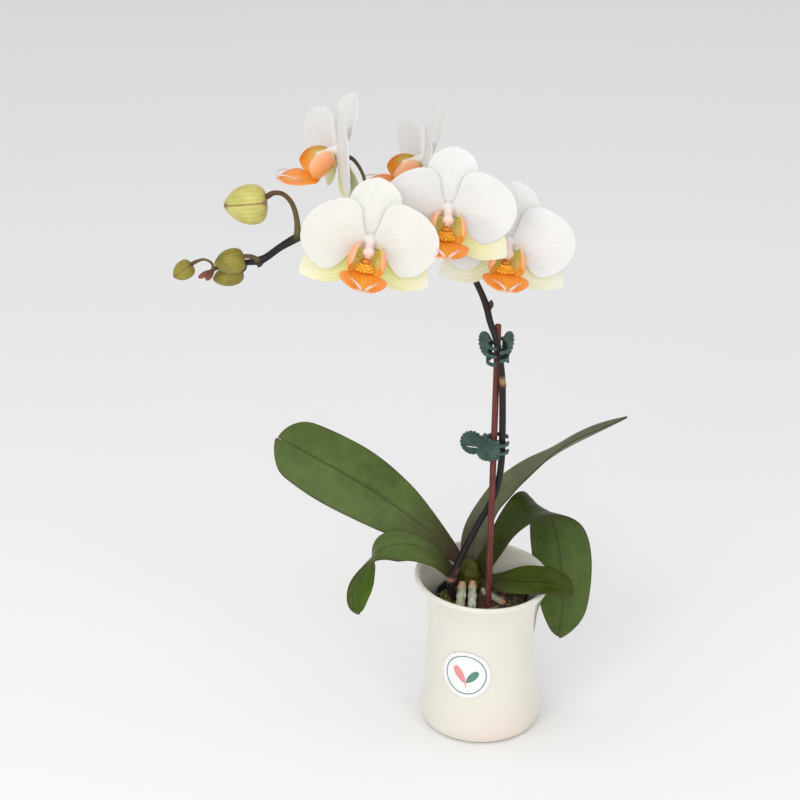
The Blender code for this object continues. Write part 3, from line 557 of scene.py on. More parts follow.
def glaze_finish():
    """Ivory glaze: glassy, a little uneven, with faint warm painted shade low on one side."""
    finish, tree, shader = start_finish("ivory_glaze", 0.13)
    place = object_place(tree)
    split = tree.nodes.new("ShaderNodeSeparateXYZ")
    tree.links.new(place, split.inputs[0])
    skin = ramp(tree, clouds(tree, place, 14.0, 4.0), (0.3, (0.76, 0.735, 0.645)),
                (0.7, (0.80, 0.78, 0.695)))
    # painted shade: a warm pinkish darkening low on the pot's right side, near the floor
    low = ramp(tree, calc(tree, "MULTIPLY", split.outputs["Z"], 20.0), (0.0, 1.0), (0.75, 0.0))
    side = ramp(tree, calc(tree, "MULTIPLY_ADD", split.outputs["X"], 12.0, 0.5), (0.05, 0.0), (0.60, 1.0))
    pink_tint_share = calc(tree, "MULTIPLY", calc(tree, "MULTIPLY", low, side), 0.38)
    skin = blend(tree, pink_tint_share, skin, (0.80, 0.56, 0.47))
    specks = ramp(tree, cells(tree, place, 160.0), (0.030, 1.0), (0.045, 0.0))
    skin = blend(tree, calc(tree, "MULTIPLY", specks, 0.30), skin, (0.45, 0.36, 0.24))
    plug(tree, skin, shader.inputs["Base Color"])
    waves = calc(tree, "ADD", clouds(tree, place, 38.0, 2.0),
                 calc(tree, "MULTIPLY", clouds(tree, place, 240.0), 0.15))
    emboss(tree, shader, waves, 0.0006, 0.25)
    plug(tree, ramp(tree, clouds(tree, place, 90.0, 3.0), (0.3, 0.10), (0.7, 0.19)),
         shader.inputs["Roughness"])
    shader.inputs["Coat Weight"].default_value = 0.6
    shader.inputs["Coat Roughness"].default_value = 0.06
    shader.inputs["Subsurface Weight"].default_value = 0.06
    shader.inputs["Subsurface Scale"].default_value = 0.002
    return finish


def bisque_finish():
    """Bare fired clay on the foot ring and underside."""
    finish, tree, shader = start_finish("bare_clay", 0.85)
    place = object_place(tree)
    skin = ramp(tree, clouds(tree, place, 300.0, 5.0), (0.3, (0.58, 0.52, 0.43)), (0.7, (0.70, 0.65, 0.56)))
    plug(tree, skin, shader.inputs["Base Color"])
    emboss(tree, shader, clouds(tree, place, 1600.0, 3.0), 0.0004, 0.7)
    return finish


def vinyl_finish(name, colour, gloss):
    """Printed vinyl: a flat ink or paper colour with a faint orange-peel film."""
    finish, tree, shader = start_finish(name, gloss)
    place = object_place(tree)
    deep = tuple(0.93 * part for part in colour)
    plug(tree, ramp(tree, clouds(tree, place, 500.0, 3.0), (0.3, deep), (0.7, colour)),
         shader.inputs["Base Color"])
    emboss(tree, shader, clouds(tree, place, 900.0, 2.0), 0.0002, 0.2)
    shader.inputs["Coat Weight"].default_value = 0.25
    return finish


def moulded_finish(name, dark, light, roughness):
    """Moulded plastic: fine spark-eroded grain and handling marks."""
    finish, tree, shader = start_finish(name, roughness)
    place = object_place(tree)
    skin = ramp(tree, clouds(tree, place, 180.0, 5.0), (0.3, dark), (0.7, light))
    plug(tree, skin, shader.inputs["Base Color"])
    plug(tree, ramp(tree, clouds(tree, place, 120.0, 4.0), (0.3, roughness - 0.08), (0.7, roughness + 0.1)),
         shader.inputs["Roughness"])
    emboss(tree, shader, clouds(tree, place, 2400.0, 3.0), 0.0003, 0.35)
    return finish


def stem_finish():
    """Spike skin: the colour painted on it, with fine freckles and lengthwise streaks."""
    finish, tree, shader = start_finish("spike_skin", 0.42)
    paint = tree.nodes.new("ShaderNodeAttribute")
    paint.attribute_name = "skin"
    place = object_place(tree)
    freckles = ramp(tree, cells(tree, place, 1100.0), (0.10, 1.0), (0.22, 0.0))
    skin = blend(tree, calc(tree, "MULTIPLY", freckles, 0.35), paint.outputs["Color"], (0.10, 0.055, 0.04))
    streaks = clouds(tree, spread(tree, place, (1.0, 1.0, 0.15)), 900.0, 4.0)
    skin = blend(tree, calc(tree, "MULTIPLY", streaks, 0.30), skin, (0.020, 0.014, 0.016))
    plug(tree, skin, shader.inputs["Base Color"])
    emboss(tree, shader, streaks, 0.0004, 0.4)
    shader.inputs["Specular IOR Level"].default_value = 0.25
    plug(tree, ramp(tree, streaks, (0.3, 0.34), (0.7, 0.52)), shader.inputs["Roughness"])
    return finish


def bud_finish(name, fresh, shade):
    """Closed bud: yellow-green, brown along its seams and at its tip, faintly ribbed."""
    finish, tree, shader = start_finish(name, 0.42)
    paint = tree.nodes.new("ShaderNodeAttribute")
    paint.attribute_name = "seam"
    across, _, both = sheet_place(tree)
    place = object_place(tree)
    skin = ramp(tree, clouds(tree, place, 120.0, 4.0), (0.3, shade), (0.7, fresh))
    ribs = ridges(tree, across, 26.0, clouds(tree, both, 3.0), 2.0)
    skin = blend(tree, calc(tree, "MULTIPLY", ribs, 0.22), skin, tuple(0.62 * part for part in shade))
    ragged = calc(tree, "ADD", paint.outputs["Fac"],
                  calc(tree, "MULTIPLY", calc(tree, "SUBTRACT", clouds(tree, place, 200.0, 4.0), 0.5), 0.5))
    brown = ramp(tree, ragged, (0.45, 0.0), (0.95, 0.85))
    skin = blend(tree, brown, skin, (0.20, 0.085, 0.035))
    plug(tree, skin, shader.inputs["Base Color"])
    emboss(tree, shader, calc(tree, "ADD", ribs, clouds(tree, place, 1400.0, 2.0)), 0.0004, 0.35)
    shader.inputs["Subsurface Weight"].default_value = 0.12
    shader.inputs["Subsurface Scale"].default_value = 0.002
    return finish


def root_finish():
    """Aerial root: silvery grey-green velamen with darker streaks and an orange-brown growing end."""
    finish, tree, shader = start_finish("root_velamen", 0.62)
    paint = tree.nodes.new("ShaderNodeAttribute")
    paint.attribute_name = "growth"
    place = object_place(tree)
    streaks = clouds(tree, spread(tree, place, (1.0, 0.25, 0.25)), 700.0, 5.0, 0.4)
    skin = ramp(tree, streaks, (0.30, (0.20, 0.23, 0.13)), (0.50, (0.44, 0.46, 0.34)),
                (0.72, (0.66, 0.66, 0.56)))
    skin = blend(tree, calc(tree, "MULTIPLY", paint.outputs["Fac"], 0.85), skin, (0.50, 0.25, 0.10))
    cracks = ramp(tree, cells(tree, spread(tree, place, (1.0, 0.5, 0.5)), 500.0, "DISTANCE_TO_EDGE"),
                  (0.0, 1.0), (0.10, 0.0))
    skin = blend(tree, calc(tree, "MULTIPLY", cracks, 0.30), skin, (0.16, 0.12, 0.07))
    plug(tree, skin, shader.inputs["Base Color"])
    emboss(tree, shader, calc(tree, "SUBTRACT", streaks, calc(tree, "MULTIPLY", cracks, 0.4)), 0.0008, 0.6)
    return finish


def bark_finish(name, dark, light):
    """Chipped bark: fibrous, flaking, matt."""
    finish, tree, shader = start_finish(name, 0.9)
    place = object_place(tree)
    fibres = clouds(tree, spread(tree, place, (1.0, 0.35, 1.0)), 480.0, 6.0, 0.8)
    skin = ramp(tree, fibres, (0.32, dark), (0.70, light))
    plug(tree, skin, shader.inputs["Base Color"])
    emboss(tree, shader, fibres, 0.0012, 0.9)
    return finish


def moss_finish():
    """Damp moss: yellow-green to olive strands."""
    finish, tree, shader = start_finish("moss_strands", 0.8)
    place = object_place(tree)
    skin = ramp(tree, clouds(tree, place, 420.0, 5.0), (0.30, (0.045, 0.035, 0.008)),
                (0.5, (0.22, 0.19, 0.03)), (0.72, (0.50, 0.45, 0.12)))
    plug(tree, skin, shader.inputs["Base Color"])
    emboss(tree, shader, clouds(tree, place, 1800.0, 3.0), 0.0005, 0.8)
    return finish


def stick_finish():
    """Dyed split-cane stick: dull dark red with lengthwise grain and rubbed streaks."""
    finish, tree, shader = start_finish("dyed_cane", 0.55)
    place = object_place(tree)
    grain = clouds(tree, spread(tree, place, (1.0, 1.0, 0.06)), 1400.0, 5.0)
    skin = ramp(tree, grain, (0.30, (0.085, 0.016, 0.015)), (0.55, (0.145, 0.034, 0.028)),
                (0.78, (0.27, 0.10, 0.07)))
    plug(tree, skin, shader.inputs["Base Color"])
    emboss(tree, shader, grain, 0.0005, 0.6)
    shader.inputs["Specular IOR Level"].default_value = 0.3
    return finish


def wire_finish():
    """Bright drawn spring wire."""
    finish, tree, shader = start_finish("spring_steel", 0.25)
    place = object_place(tree)
    skin = ramp(tree, clouds(tree, place, 900.0, 4.0), (0.3, (0.55, 0.55, 0.53)), (0.7, (0.78, 0.78, 0.76)))
    plug(tree, skin, shader.inputs["Base Color"])
    shader.inputs["Metallic"].default_value = 1.0
    emboss(tree, shader, clouds(tree, spread(tree, place, (1.0, 1.0, 0.2)), 3000.0), 0.0002, 0.3)
    return finish


# ---------------------------------------------------------------- pot and what it holds

POT_OUTLINE = [
    (0.0, 29.5, 1.2), (0.03, 31.0, 0.0), (0.055, 33.6, 0.0), (0.08, 35.4, 0.7), (0.11, 37.4, 2.6),
    (0.15, 38.8, 7.5), (0.19, 38.8, 14.0), (0.25, 37.3, 27.0), (0.32, 35.9, 44.0), (0.40, 35.2, 62.0),
    (0.46, 35.6, 76.0), (0.51, 37.2, 88.0), (0.55, 40.3, 96.5), (0.575, 42.8, 101.0), (0.595, 43.8, 103.3),
    (0.61, 43.5, 104.7), (0.625, 42.4, 105.2), (0.64, 41.0, 104.6), (0.67, 38.6, 100.2), (0.71, 35.3, 91.0),
    (0.76, 32.8, 80.0), (0.81, 31.9, 64.0), (0.86, 32.4, 44.0), (0.91, 33.9, 27.0), (0.94, 34.9, 14.0),
    (0.96, 33.8, 8.6), (0.98, 29.0, 6.0), (1.0, 4.0, 6.0),
]
FLARE_LEAN = 4.2
RIM_LEAN_SIDE = 1.9
RIM_LEAN_BACK = 2.4


def lean_rim(piece):
    """Lean the flare and the rim: high at the back left, drooping on the right."""
    for corner in piece.data.vertices:
        x, y, z = corner.co / MM
        radius = math.hypot(x, y)
        share = min(max((z - 58.0) / 30.0, 0.0), 1.0)
        rim_share = min(max((z - 88.0) / 16.0, 0.0), 1.0)
        if radius > 0.0:
            side_lean = FLARE_LEAN + (RIM_LEAN_SIDE - FLARE_LEAN) * rim_share
            corner.co.z += share * (-side_lean * x + RIM_LEAN_BACK * y) / radius * MM


def make_pot(glaze, clay):
    """The ceramic pot, glazed all over but for its foot ring."""
    outline = [between_keys(POT_OUTLINE, step / 110) for step in range(111)]
    pot = turned("pot", outline, 112)
    lean_rim(pot)
    finish_with(pot, glaze, clay)
    for face in pot.data.polygons:
        if face.center.z < 0.0013 and face.normal.z < -0.6:
            face.material_index = 1
    soften(pot)
    stand_for(pot, "pot")


LABEL_RADIUS = 16.2
LABEL_TURN = math.radians(-17.5)
LABEL_HEIGHT = 50.5


def wall_place(across, up, lift):
    """Point on the pot's outer wall, measured from the middle of the sticker."""
    height = LABEL_HEIGHT + up
    heights = [row[2] for row in POT_OUTLINE[5:11]]
    radii = [row[1] for row in POT_OUTLINE[5:11]]
    wall = float(np.interp(height, heights, radii)) + lift
    turn = LABEL_TURN + across / wall
    return Vector((wall * math.sin(turn), -wall * math.cos(turn), height))


def wall_patch(name, outline, lift, thickness, finish):
    """A thin closed patch of vinyl on the wall; outline gives its edge at a turn from its middle."""
    rings, spokes = 10, 72
    patch = shaped_grid(name, spokes, rings, lambda across, along: (0.0, 0.0, 0.0))
    for corner in patch.data.vertices:
        step = corner.index % (spokes + 1)
        ring = corner.index // (spokes + 1)
        side, up = outline(2 * math.pi * step / spokes, ring / rings)
        corner.co = wall_place(side, up, lift) * MM
    face_outwards(patch)
    if sum(face.normal.dot(Vector((face.center.x, face.center.y, 0.0))) * face.area
           for face in patch.data.polygons) < 0.0:
        pick(patch)
        bpy.ops.object.mode_set(mode="EDIT")
        bpy.ops.mesh.select_all(action="SELECT")
        bpy.ops.mesh.flip_normals()
        bpy.ops.object.mode_set(mode="OBJECT")
    apply_modifier(patch, "SOLIDIFY", thickness=thickness * MM, offset=1.0)
    finish_with(patch, finish)
    soften(patch, 40.0)
    return patch


def make_label(paper, ink_green, ink_soft):
    """A round sticker with a plain ring and two plain leaves."""
    def disc(turn, share):
        return LABEL_RADIUS * share * math.cos(turn), LABEL_RADIUS * share * math.sin(turn)

    def ring(turn, share):
        reach = LABEL_RADIUS * (0.80 + 0.045 * share)
        return reach * math.cos(turn), reach * math.sin(turn)

    def leaf(lean, length, width, foot):
        def edge(turn, share):
            along = (1.0 - math.cos(turn)) / 2 * length
            side = width * math.sin(turn) * abs(math.sin(turn / 2)) ** 0.5 * share
            return (foot[0] + along * math.sin(lean) + side * math.cos(lean),
                    foot[1] + along * math.cos(lean) - side * math.sin(lean))
        return edge

    parts = [
        wall_patch("label", disc, 0.45, 0.3, paper),
        wall_patch("ring", ring, 0.75, 0.04, ink_green),
        wall_patch("leaf_right", leaf(0.75, 11.5, 2.9, (0.3, -5.6)), 0.75, 0.04, ink_green),
        wall_patch("leaf_left", leaf(-0.55, 13.5, 3.1, (-0.3, -6.0)), 0.75, 0.04, ink_soft),
        wall_patch("twig", leaf(0.05, 4.8, 0.5, (0.0, -9.6)), 0.76, 0.04, ink_soft),
    ]
    stand_for(join_pieces("label", parts), "label")


def bed_height(x, y):
    """Uneven top of the bark bed."""
    rise = (1.6 * noise.noise(Vector((x * 0.11, y * 0.11, 3.0)))
            + 0.9 * noise.noise(Vector((x * 0.4, y * 0.4, 8.0))))
    edge = max(math.hypot(x, y) - 24.0, 0.0)
    return 86.6 + rise - 0.25 * edge


def bark_chip(finish, place, size, turn, seed):
    """One flake of bark: a flattened, chipped pebble."""
    deselect_all()
    bpy.ops.mesh.primitive_ico_sphere_add(subdivisions=2, radius=1.0)
    chip = bpy.context.object
    for corner in chip.data.vertices:
        rough = 1.0 + 0.42 * noise.noise(corner.co * 1.6 + Vector((seed, 0.0, 0.0)))
        flat = Vector((round(corner.co.x * 2.2) / 2.2, corner.co.y, round(corner.co.z * 1.5) / 1.5))
        corner.co = corner.co.lerp(flat, 0.35) * rough
        corner.co = Vector((corner.co.x * size[0], corner.co.y * size[1], corner.co.z * size[2]))
    chip.data.transform(Matrix.Translation(Vector(place) * MM) @ turn.to_4x4() @ Matrix.Scale(MM, 4))
    finish_with(chip, finish)
    soften(chip, 35.0)
    return chip


def moss_strand(finish, place, rng):
    """A short curling strand of moss."""
    x, y, z = place
    lean = rng.uniform(0.0, 2 * math.pi)
    keys = [(x, y, z, 0.55)]
    for step in range(1, 5):
        lean += rng.uniform(-1.3, 1.3)
        x += 1.5 * math.cos(lean)
        y += 1.5 * math.sin(lean)
        z += rng.uniform(-0.2, 1.3) - 0.35 * step
        keys.append((x, y, z, 0.52 - 0.09 * step))
    strand = tube("moss", keys, 8, 1)
    finish_with(strand, finish)
    soften(strand)
    return strand


BED_RINGS = 14
BED_RING_WIDTH = 1.9


def make_mix(bed_bark, chip_bark, pale_bark, moss):
    """Bark and moss: a lumpy bed, loose chips over it and a tuft of moss at the left."""
    rng = random.Random(7)
    deselect_all()
    bpy.ops.mesh.primitive_cylinder_add(vertices=64, radius=24.0 * MM, depth=77.0 * MM,
                                        location=(0.0, 0.0, 48.2 * MM), end_fill_type="NGON")
    bed = bpy.context.object
    fix_in_place(bed)
    bpy.ops.object.mode_set(mode="EDIT")
    bpy.ops.mesh.select_all(action="DESELECT")
    bpy.ops.mesh.select_mode(type="FACE")
    bpy.ops.object.mode_set(mode="OBJECT")
    for face in bed.data.polygons:
        face.select = face.normal.z > 0.9
    bpy.ops.object.mode_set(mode="EDIT")
    bpy.ops.transform.resize(value=(1.20, 1.20, 1.0), center_override=(0.0, 0.0, 0.0867))
    for _ in range(BED_RINGS):
        bpy.ops.mesh.inset(thickness=BED_RING_WIDTH * MM)
    bpy.ops.object.mode_set(mode="OBJECT")
    for corner in bed.data.vertices:
        if corner.co.z > 0.06:
            corner.co.z = bed_height(corner.co.x / MM, corner.co.y / MM) * MM
    finish_with(bed, bed_bark)
    soften(bed, 50.0)
    pieces = [bed]
    for chip in range(190):
        reach = 28.0 * math.sqrt(rng.random())
        angle = rng.uniform(0.0, 2 * math.pi)
        x, y = reach * math.cos(angle), reach * math.sin(angle)
        length = rng.uniform(1.6, 4.6)
        size = (length, length * rng.uniform(0.45, 0.8), length * rng.uniform(0.22, 0.42))
        room = 29.2 - math.hypot(x, y)
        if room < length:
            size = tuple(part * max(room, 0.9) / length for part in size)
        turn = (Matrix.Rotation(rng.uniform(0.0, math.pi), 3, "Z")
                @ Matrix.Rotation(rng.uniform(-0.5, 0.5), 3, "X"))
        bark = pale_bark if rng.random() < 0.22 else chip_bark
        pieces.append(bark_chip(bark, (x, y, bed_height(x, y) + 0.5), size, turn, chip * 3.7))
    for clump_x, clump_y, width, count in ((-22.5, -8.0, 6.0, 90), (-16.0, -17.0, 4.5, 45),
                                           (-25.5, 3.0, 3.0, 25)):
        for _ in range(count):
            x = rng.gauss(clump_x, width * 0.45)
            y = rng.gauss(clump_y, width * 0.45)
            if math.hypot(x, y) > 27.0:
                continue
            lump = 2.4 * math.exp(-((x - clump_x) ** 2 + (y - clump_y) ** 2) / (0.5 * width * width))
            pieces.append(moss_strand(moss, (x, y, bed_height(x, y) + lump), rng))
    mix = join_pieces("potting_mix", pieces)
    stand_for(mix, "potting_mix")


STAKE_FOOT = Vector((2.2, -15.8, 14.0))
STAKE_TIP = Vector((6.8, -13.0, 284.0))
STAKE_RADIUS = 2.0


def make_stake(finish):
    """A split-cane stick, faintly faceted, with a rounded tip."""
    run = (STAKE_TIP - STAKE_FOOT).normalized()
    length = (STAKE_TIP - STAKE_FOOT).length
    deselect_all()
    bpy.ops.mesh.primitive_cylinder_add(vertices=28, radius=STAKE_RADIUS * MM, depth=length * MM,
                                        location=(0.0, 0.0, length / 2 * MM), end_fill_type="NGON")
    stick = bpy.context.object
    fix_in_place(stick)
    apply_modifier(stick, "BEVEL", width=1.1 * MM, segments=4, limit_method="ANGLE")
    bpy.ops.object.mode_set(mode="EDIT")
    bpy.ops.mesh.select_all(action="SELECT")
    bpy.ops.mesh.bisect(plane_co=(0.0, 0.0, length * 0.5 * MM), plane_no=(0.0, 0.0, 1.0))
    bpy.ops.object.mode_set(mode="OBJECT")
    turn = run.to_track_quat("Z", "Y").to_matrix().to_4x4()
    stick.data.transform(Matrix.Translation(STAKE_FOOT * MM) @ turn)
    finish_with(stick, finish)
    soften(stick, 40.0)
    stand_for(stick, "stake")


# ---------------------------------------------------------------- leaves, crown and roots

LEAVES = {
    "leaf_a": {"fold": 0.14, "notch": 3.4, "wave": 0.5, "stations": [
        (-15.5, 5.0, 113.5, 0.35, 0.80, 0.45, 3.8), (-24.0, 6.8, 122.0, 0.50, 0.70, 0.52, 7.4),
        (-38.0, 9.0, 134.0, 0.56, 0.62, 0.56, 12.5), (-56.0, 13.0, 147.0, 0.58, 0.56, 0.60, 18.5),
        (-78.0, 18.5, 160.5, 0.58, 0.56, 0.60, 22.5), (-101.0, 24.0, 172.4, 0.58, 0.55, 0.60, 22.6),
        (-120.5, 29.0, 182.0, 0.57, 0.55, 0.60, 20.0), (-132.0, 31.5, 187.4, 0.57, 0.55, 0.60, 16.0),
    ]},
    "leaf_b": {"fold": 0.20, "notch": 0.8, "wave": 0.5, "stations": [
        (-14.6, 0.0, 100.5, 0.10, 0.90, 0.40, 5.6), (-21.2, -2.8, 109.5, 0.20, 0.90, 0.40, 6.0),
        (-33.0, -9.5, 124.5, 0.10, 0.88, 0.44, 8.0), (-48.0, -15.5, 134.0, 0.10, 0.88, 0.46, 10.5),
        (-60.0, -22.0, 135.7, 0.35, 0.86, 0.36, 11.5), (-70.0, -27.5, 130.5, 0.50, 0.82, 0.20, 12.5),
        (-77.5, -32.0, 118.8, 0.62, 0.76, 0.12, 12.4), (-79.5, -34.0, 106.8, 0.66, 0.74, 0.10, 10.4),
        (-78.0, -35.0, 96.0, 0.66, 0.74, 0.10, 7.4),
    ]},
    "leaf_c": {"fold": 0.20, "notch": 0.6, "wave": 0.5, "stations": [
        (-6.5, 8.5, 108.0, -0.85, 0.10, 0.25, 7.4), (-3.4, 15.5, 127.6, -0.82, 0.09, 0.20, 8.6),
        (6.4, 24.5, 145.4, -0.78, 0.15, 0.15, 7.0), (24.0, 30.0, 161.0, -0.45, 0.72, -0.14, 10.0),
        (48.0, 34.0, 177.0, -0.08, 0.92, -0.33, 13.4), (74.0, 46.0, 186.0, -0.08, 0.92, -0.35, 12.4),
        (94.0, 54.0, 192.5, -0.08, 0.92, -0.35, 7.2),
    ]},
    "leaf_d": {"fold": 0.16, "notch": 0.8, "wave": 0.7, "stations": [
        (-1.6, 2.2, 105.5, -0.50, 0.80, 0.10, 6.4), (7.0, 1.6, 122.0, -0.42, 0.83, 0.14, 7.8),
        (15.5, 3.0, 138.0, -0.38, 0.84, 0.16, 11.0), (27.0, 9.6, 146.0, -0.45, 0.82, 0.12, 15.0),
        (38.0, 19.5, 144.0, -0.65, 0.72, 0.14, 18.0), (46.0, 26.5, 132.5, -0.80, 0.55, 0.10, 19.5),
        (51.0, 29.0, 114.0, -0.92, 0.32, 0.00, 20.0), (54.0, 29.0, 90.0, -0.96, 0.22, 0.00, 19.0),
        (55.0, 27.0, 66.0, -0.97, 0.20, 0.00, 15.5), (52.5, 25.0, 45.0, -0.97, 0.20, 0.00, 9.0),
    ]},
    "leaf_e": {"fold": 0.18, "notch": 0.4, "wave": 0.3, "stations": [
        (-0.4, -1.8, 100.5, 0.05, 0.90, 0.30, 3.0), (8.0, -5.0, 103.0, 0.05, 0.94, 0.30, 5.5),
        (18.0, -11.0, 105.5, 0.05, 0.94, 0.28, 11.0), (31.0, -14.5, 107.8, 0.05, 0.94, 0.28, 12.5),
        (43.0, -16.5, 108.0, 0.05, 0.94, 0.28, 12.0), (51.5, -18.0, 105.5, 0.08, 0.94, 0.26, 9.6),
        (57.5, -19.5, 101.2, 0.10, 0.94, 0.24, 6.8),
    ]},
}
LEAF_ROWS = 56
LEAF_COLUMNS = 22
LEAF_THICKNESS = 1.5
TIP_SHARE = 0.13


def make_leaf(name, shape, top, under):
    """A strap leaf: shallow V, sunken midrib, gently waved margins and a blunt round tip."""
    places = [1.0 - (1.0 - row / LEAF_ROWS) ** 1.5 for row in range(LEAF_ROWS + 1)]
    rows = curve_through(shape["stations"], places)
    runs = np.gradient(rows[:, :3], axis=0)

    def place(across, along):
        row = round(along * LEAF_ROWS)
        centre, half = Vector(rows[row][:3]), rows[row][6]
        run = Vector(runs[row]).normalized()
        side = Vector(rows[row][3:6])
        side = (side - run * side.dot(run)).normalized()
        normal = run.cross(side)
        share = places[row]
        if share > 1.0 - TIP_SHARE:
            past = (share - 1.0 + TIP_SHARE) / TIP_SHARE
            half *= math.sqrt(max(1.0 - past ** 2.4, 0.0004))
            centre = centre - run * shape["notch"] * past ** 3 * math.exp(-(across / 0.25) ** 2)
        ripple = shape["wave"] * across ** 2 * math.sin(share * 17.0 + (2.1 if across > 0.0 else 0.0))
        lift = shape["fold"] * half * across ** 2 + ripple
        lift -= 0.65 * math.exp(-(across / 0.06) ** 2) * (1.0 - 0.5 * share)
        lift += 0.22 * math.cos(across * 3 * math.pi) * min(half / 12.0, 1.0)
        return centre - side * half * across + normal * lift

    leaf = shaped_grid(name, LEAF_COLUMNS, LEAF_ROWS, place)
    finish_with(leaf, top, under)
    thicken(leaf, LEAF_THICKNESS, -1.0, 1, True)
    stand_for(leaf, name)


CROWN_AXIS = Vector((-8.0, 1.0, 0.0))
CROWN_OUTLINE = [
    (0.0, 3.2, 86.5), (0.15, 5.6, 89.5), (0.35, 6.8, 95.0), (0.6, 6.8, 102.0), (0.8, 5.8, 108.5),
    (0.93, 3.6, 114.0), (1.0, 0.7, 116.0),
]


def make_crown(finish):
    """The short stem, ridged where the leaf bases sheathe it."""
    crown = turned("crown", [between_keys(CROWN_OUTLINE, step / 40) for step in range(41)], 56)
    for corner in crown.data.vertices:
        turn = math.atan2(corner.co.y, corner.co.x)
        height = corner.co.z / MM
        ridge = 1.0 + 0.10 * math.cos(2 * turn + height * 0.12) + 0.035 * math.cos(9 * turn)
        ridge += 0.05 * math.cos(height * 0.9 + turn)
        corner.co.x *= ridge
        corner.co.y *= ridge
    crown.data.transform(Matrix.Translation(CROWN_AXIS * MM))
    finish_with(crown, finish)
    soften(crown)
    stand_for(crown, "crown")


ROOTS = {
    "root_a": [(-13.2, -7.6, 104.0, 2.2), (-13.4, -10.2, 99.5, 2.8), (-14.0, -14.0, 94.5, 2.9),
               (-14.8, -18.5, 90.6, 2.6)],
    "root_b": [(-6.4, -7.6, 104.5, 2.2), (-6.4, -10.4, 99.5, 2.7), (-6.6, -14.5, 94.5, 2.9),
               (-7.0, -19.0, 90.6, 2.5)],
    "root_c": [(-0.6, -5.8, 97.2, 1.6), (3.0, -7.8, 95.6, 2.2), (8.5, -9.6, 92.8, 2.3),
               (14.5, -12.0, 90.2, 1.9)],
}


def make_root(name, keys, growing_end, finish):
    """A thick aerial root, knuckled, with its growing end coloured."""
    root = tube(name, keys, 34, 6)
    middle = curve_through(keys, np.linspace(0.0, 1.0, 40))
    growth = root.data.attributes.new("growth", "FLOAT", "POINT")
    for corner in root.data.vertices:
        spot = np.array(corner.co) / MM
        nearest = int(np.argmin(np.linalg.norm(middle[:, :3] - spot, axis=1)))
        share = nearest / 39.0
        centre = Vector(middle[nearest][:3]) * MM
        knuckle = 1.0 + 0.09 * math.sin(share * 19.0 + len(keys)) + 0.16 * noise.noise(corner.co * 260.0)
        corner.co = centre + (corner.co - centre) * knuckle
        far = share if growing_end == 1 else 1.0 - share
        growth.data[corner.index].value = min(max((far - 0.68) / 0.24, 0.0), 1.0)
    apply_modifier(root, "SUBSURF", levels=1, render_levels=1)
    finish_with(root, finish)
    soften(root)
    stand_for(root, name)


# ---------------------------------------------------------------- flower spike and buds

SPIKE_STEM = [
    (-17.6, -6.5, 91.0, 2.5), (-20.4, -8.6, 99.0, 2.6), (-20.2, -9.8, 107.0, 2.8),
    (-17.6, -10.0, 114.0, 2.4),
    (-12.2, -9.6, 127.0, 2.3), (-3.6, -8.6, 145.5, 2.3), (3.8, -8.8, 160.0, 2.3), (8.4, -11.2, 175.0, 2.2),
    (10.3, -13.4, 191.0, 2.2), (10.6, -13.8, 213.0, 2.2), (10.3, -15.2, 232.0, 2.2),
    (9.8, -17.0, 247.0, 2.2),
    (8.8, -18.2, 258.0, 2.1), (7.4, -18.5, 268.0, 2.1), (5.2, -17.6, 277.0, 2.1), (1.8, -14.2, 286.0, 2.1),
    (-0.4, -8.6, 294.0, 2.2), (-4.4, -4.0, 303.0, 2.0), (-12.0, -1.0, 317.0, 2.0),
    (-24.0, -1.0, 333.0, 2.0),
    (-40.0, -2.0, 345.0, 1.9), (-58.0, -3.0, 351.5, 1.9), (-76.0, -3.0, 352.0, 1.9),
    (-94.0, -1.5, 346.5, 1.8),
    (-108.0, -0.4, 338.8, 2.1), (-115.0, 0.0, 335.3, 2.8), (-125.5, 0.0, 329.0, 2.3),
    (-134.0, 0.0, 322.6, 2.3),
    (-138.5, 0.0, 320.4, 2.7), (-144.0, 0.0, 319.4, 2.0), (-155.0, 0.0, 318.2, 1.4),
    (-164.5, -0.4, 315.8, 1.3), (-168.0, -0.8, 313.6, 1.4),
]
FLOWER_STALKS = [
    [(-76.0, -4.0, 351.6, 1.5), (-76.0, -14.0, 350.4, 1.2), (-74.0, -32.0, 347.6, 1.1),
     (-71.6, -46.0, 348.2, 1.3), (-71.2, -50.8, 348.6, 2.2)],
    [(-32.0, -2.0, 339.0, 1.5), (-29.6, -6.0, 345.0, 1.2), (-26.6, -15.0, 355.0, 1.1),
     (-25.4, -20.4, 358.4, 1.3), (-25.3, -23.9, 358.8, 2.2)],
    [(-7.0, -2.4, 307.0, 1.5), (-1.0, 3.6, 315.0, 1.2), (8.0, 5.6, 326.5, 1.1), (11.0, 0.4, 330.2, 1.3),
     (11.2, -4.9, 331.0, 2.2)],
    [(-74.0, -2.0, 351.5, 1.5), (-73.8, 4.0, 360.0, 1.2), (-75.0, 9.6, 371.0, 1.1),
     (-81.4, 11.8, 381.0, 1.3), (-89.1, 10.0, 382.8, 2.2)],
    [(-20.0, -1.0, 328.0, 1.5), (-12.0, 12.0, 333.0, 1.2), (-12.0, 34.0, 346.0, 1.1),
     (-22.0, 50.0, 360.0, 1.3), (-36.9, 52.5, 363.9, 2.2)],
]
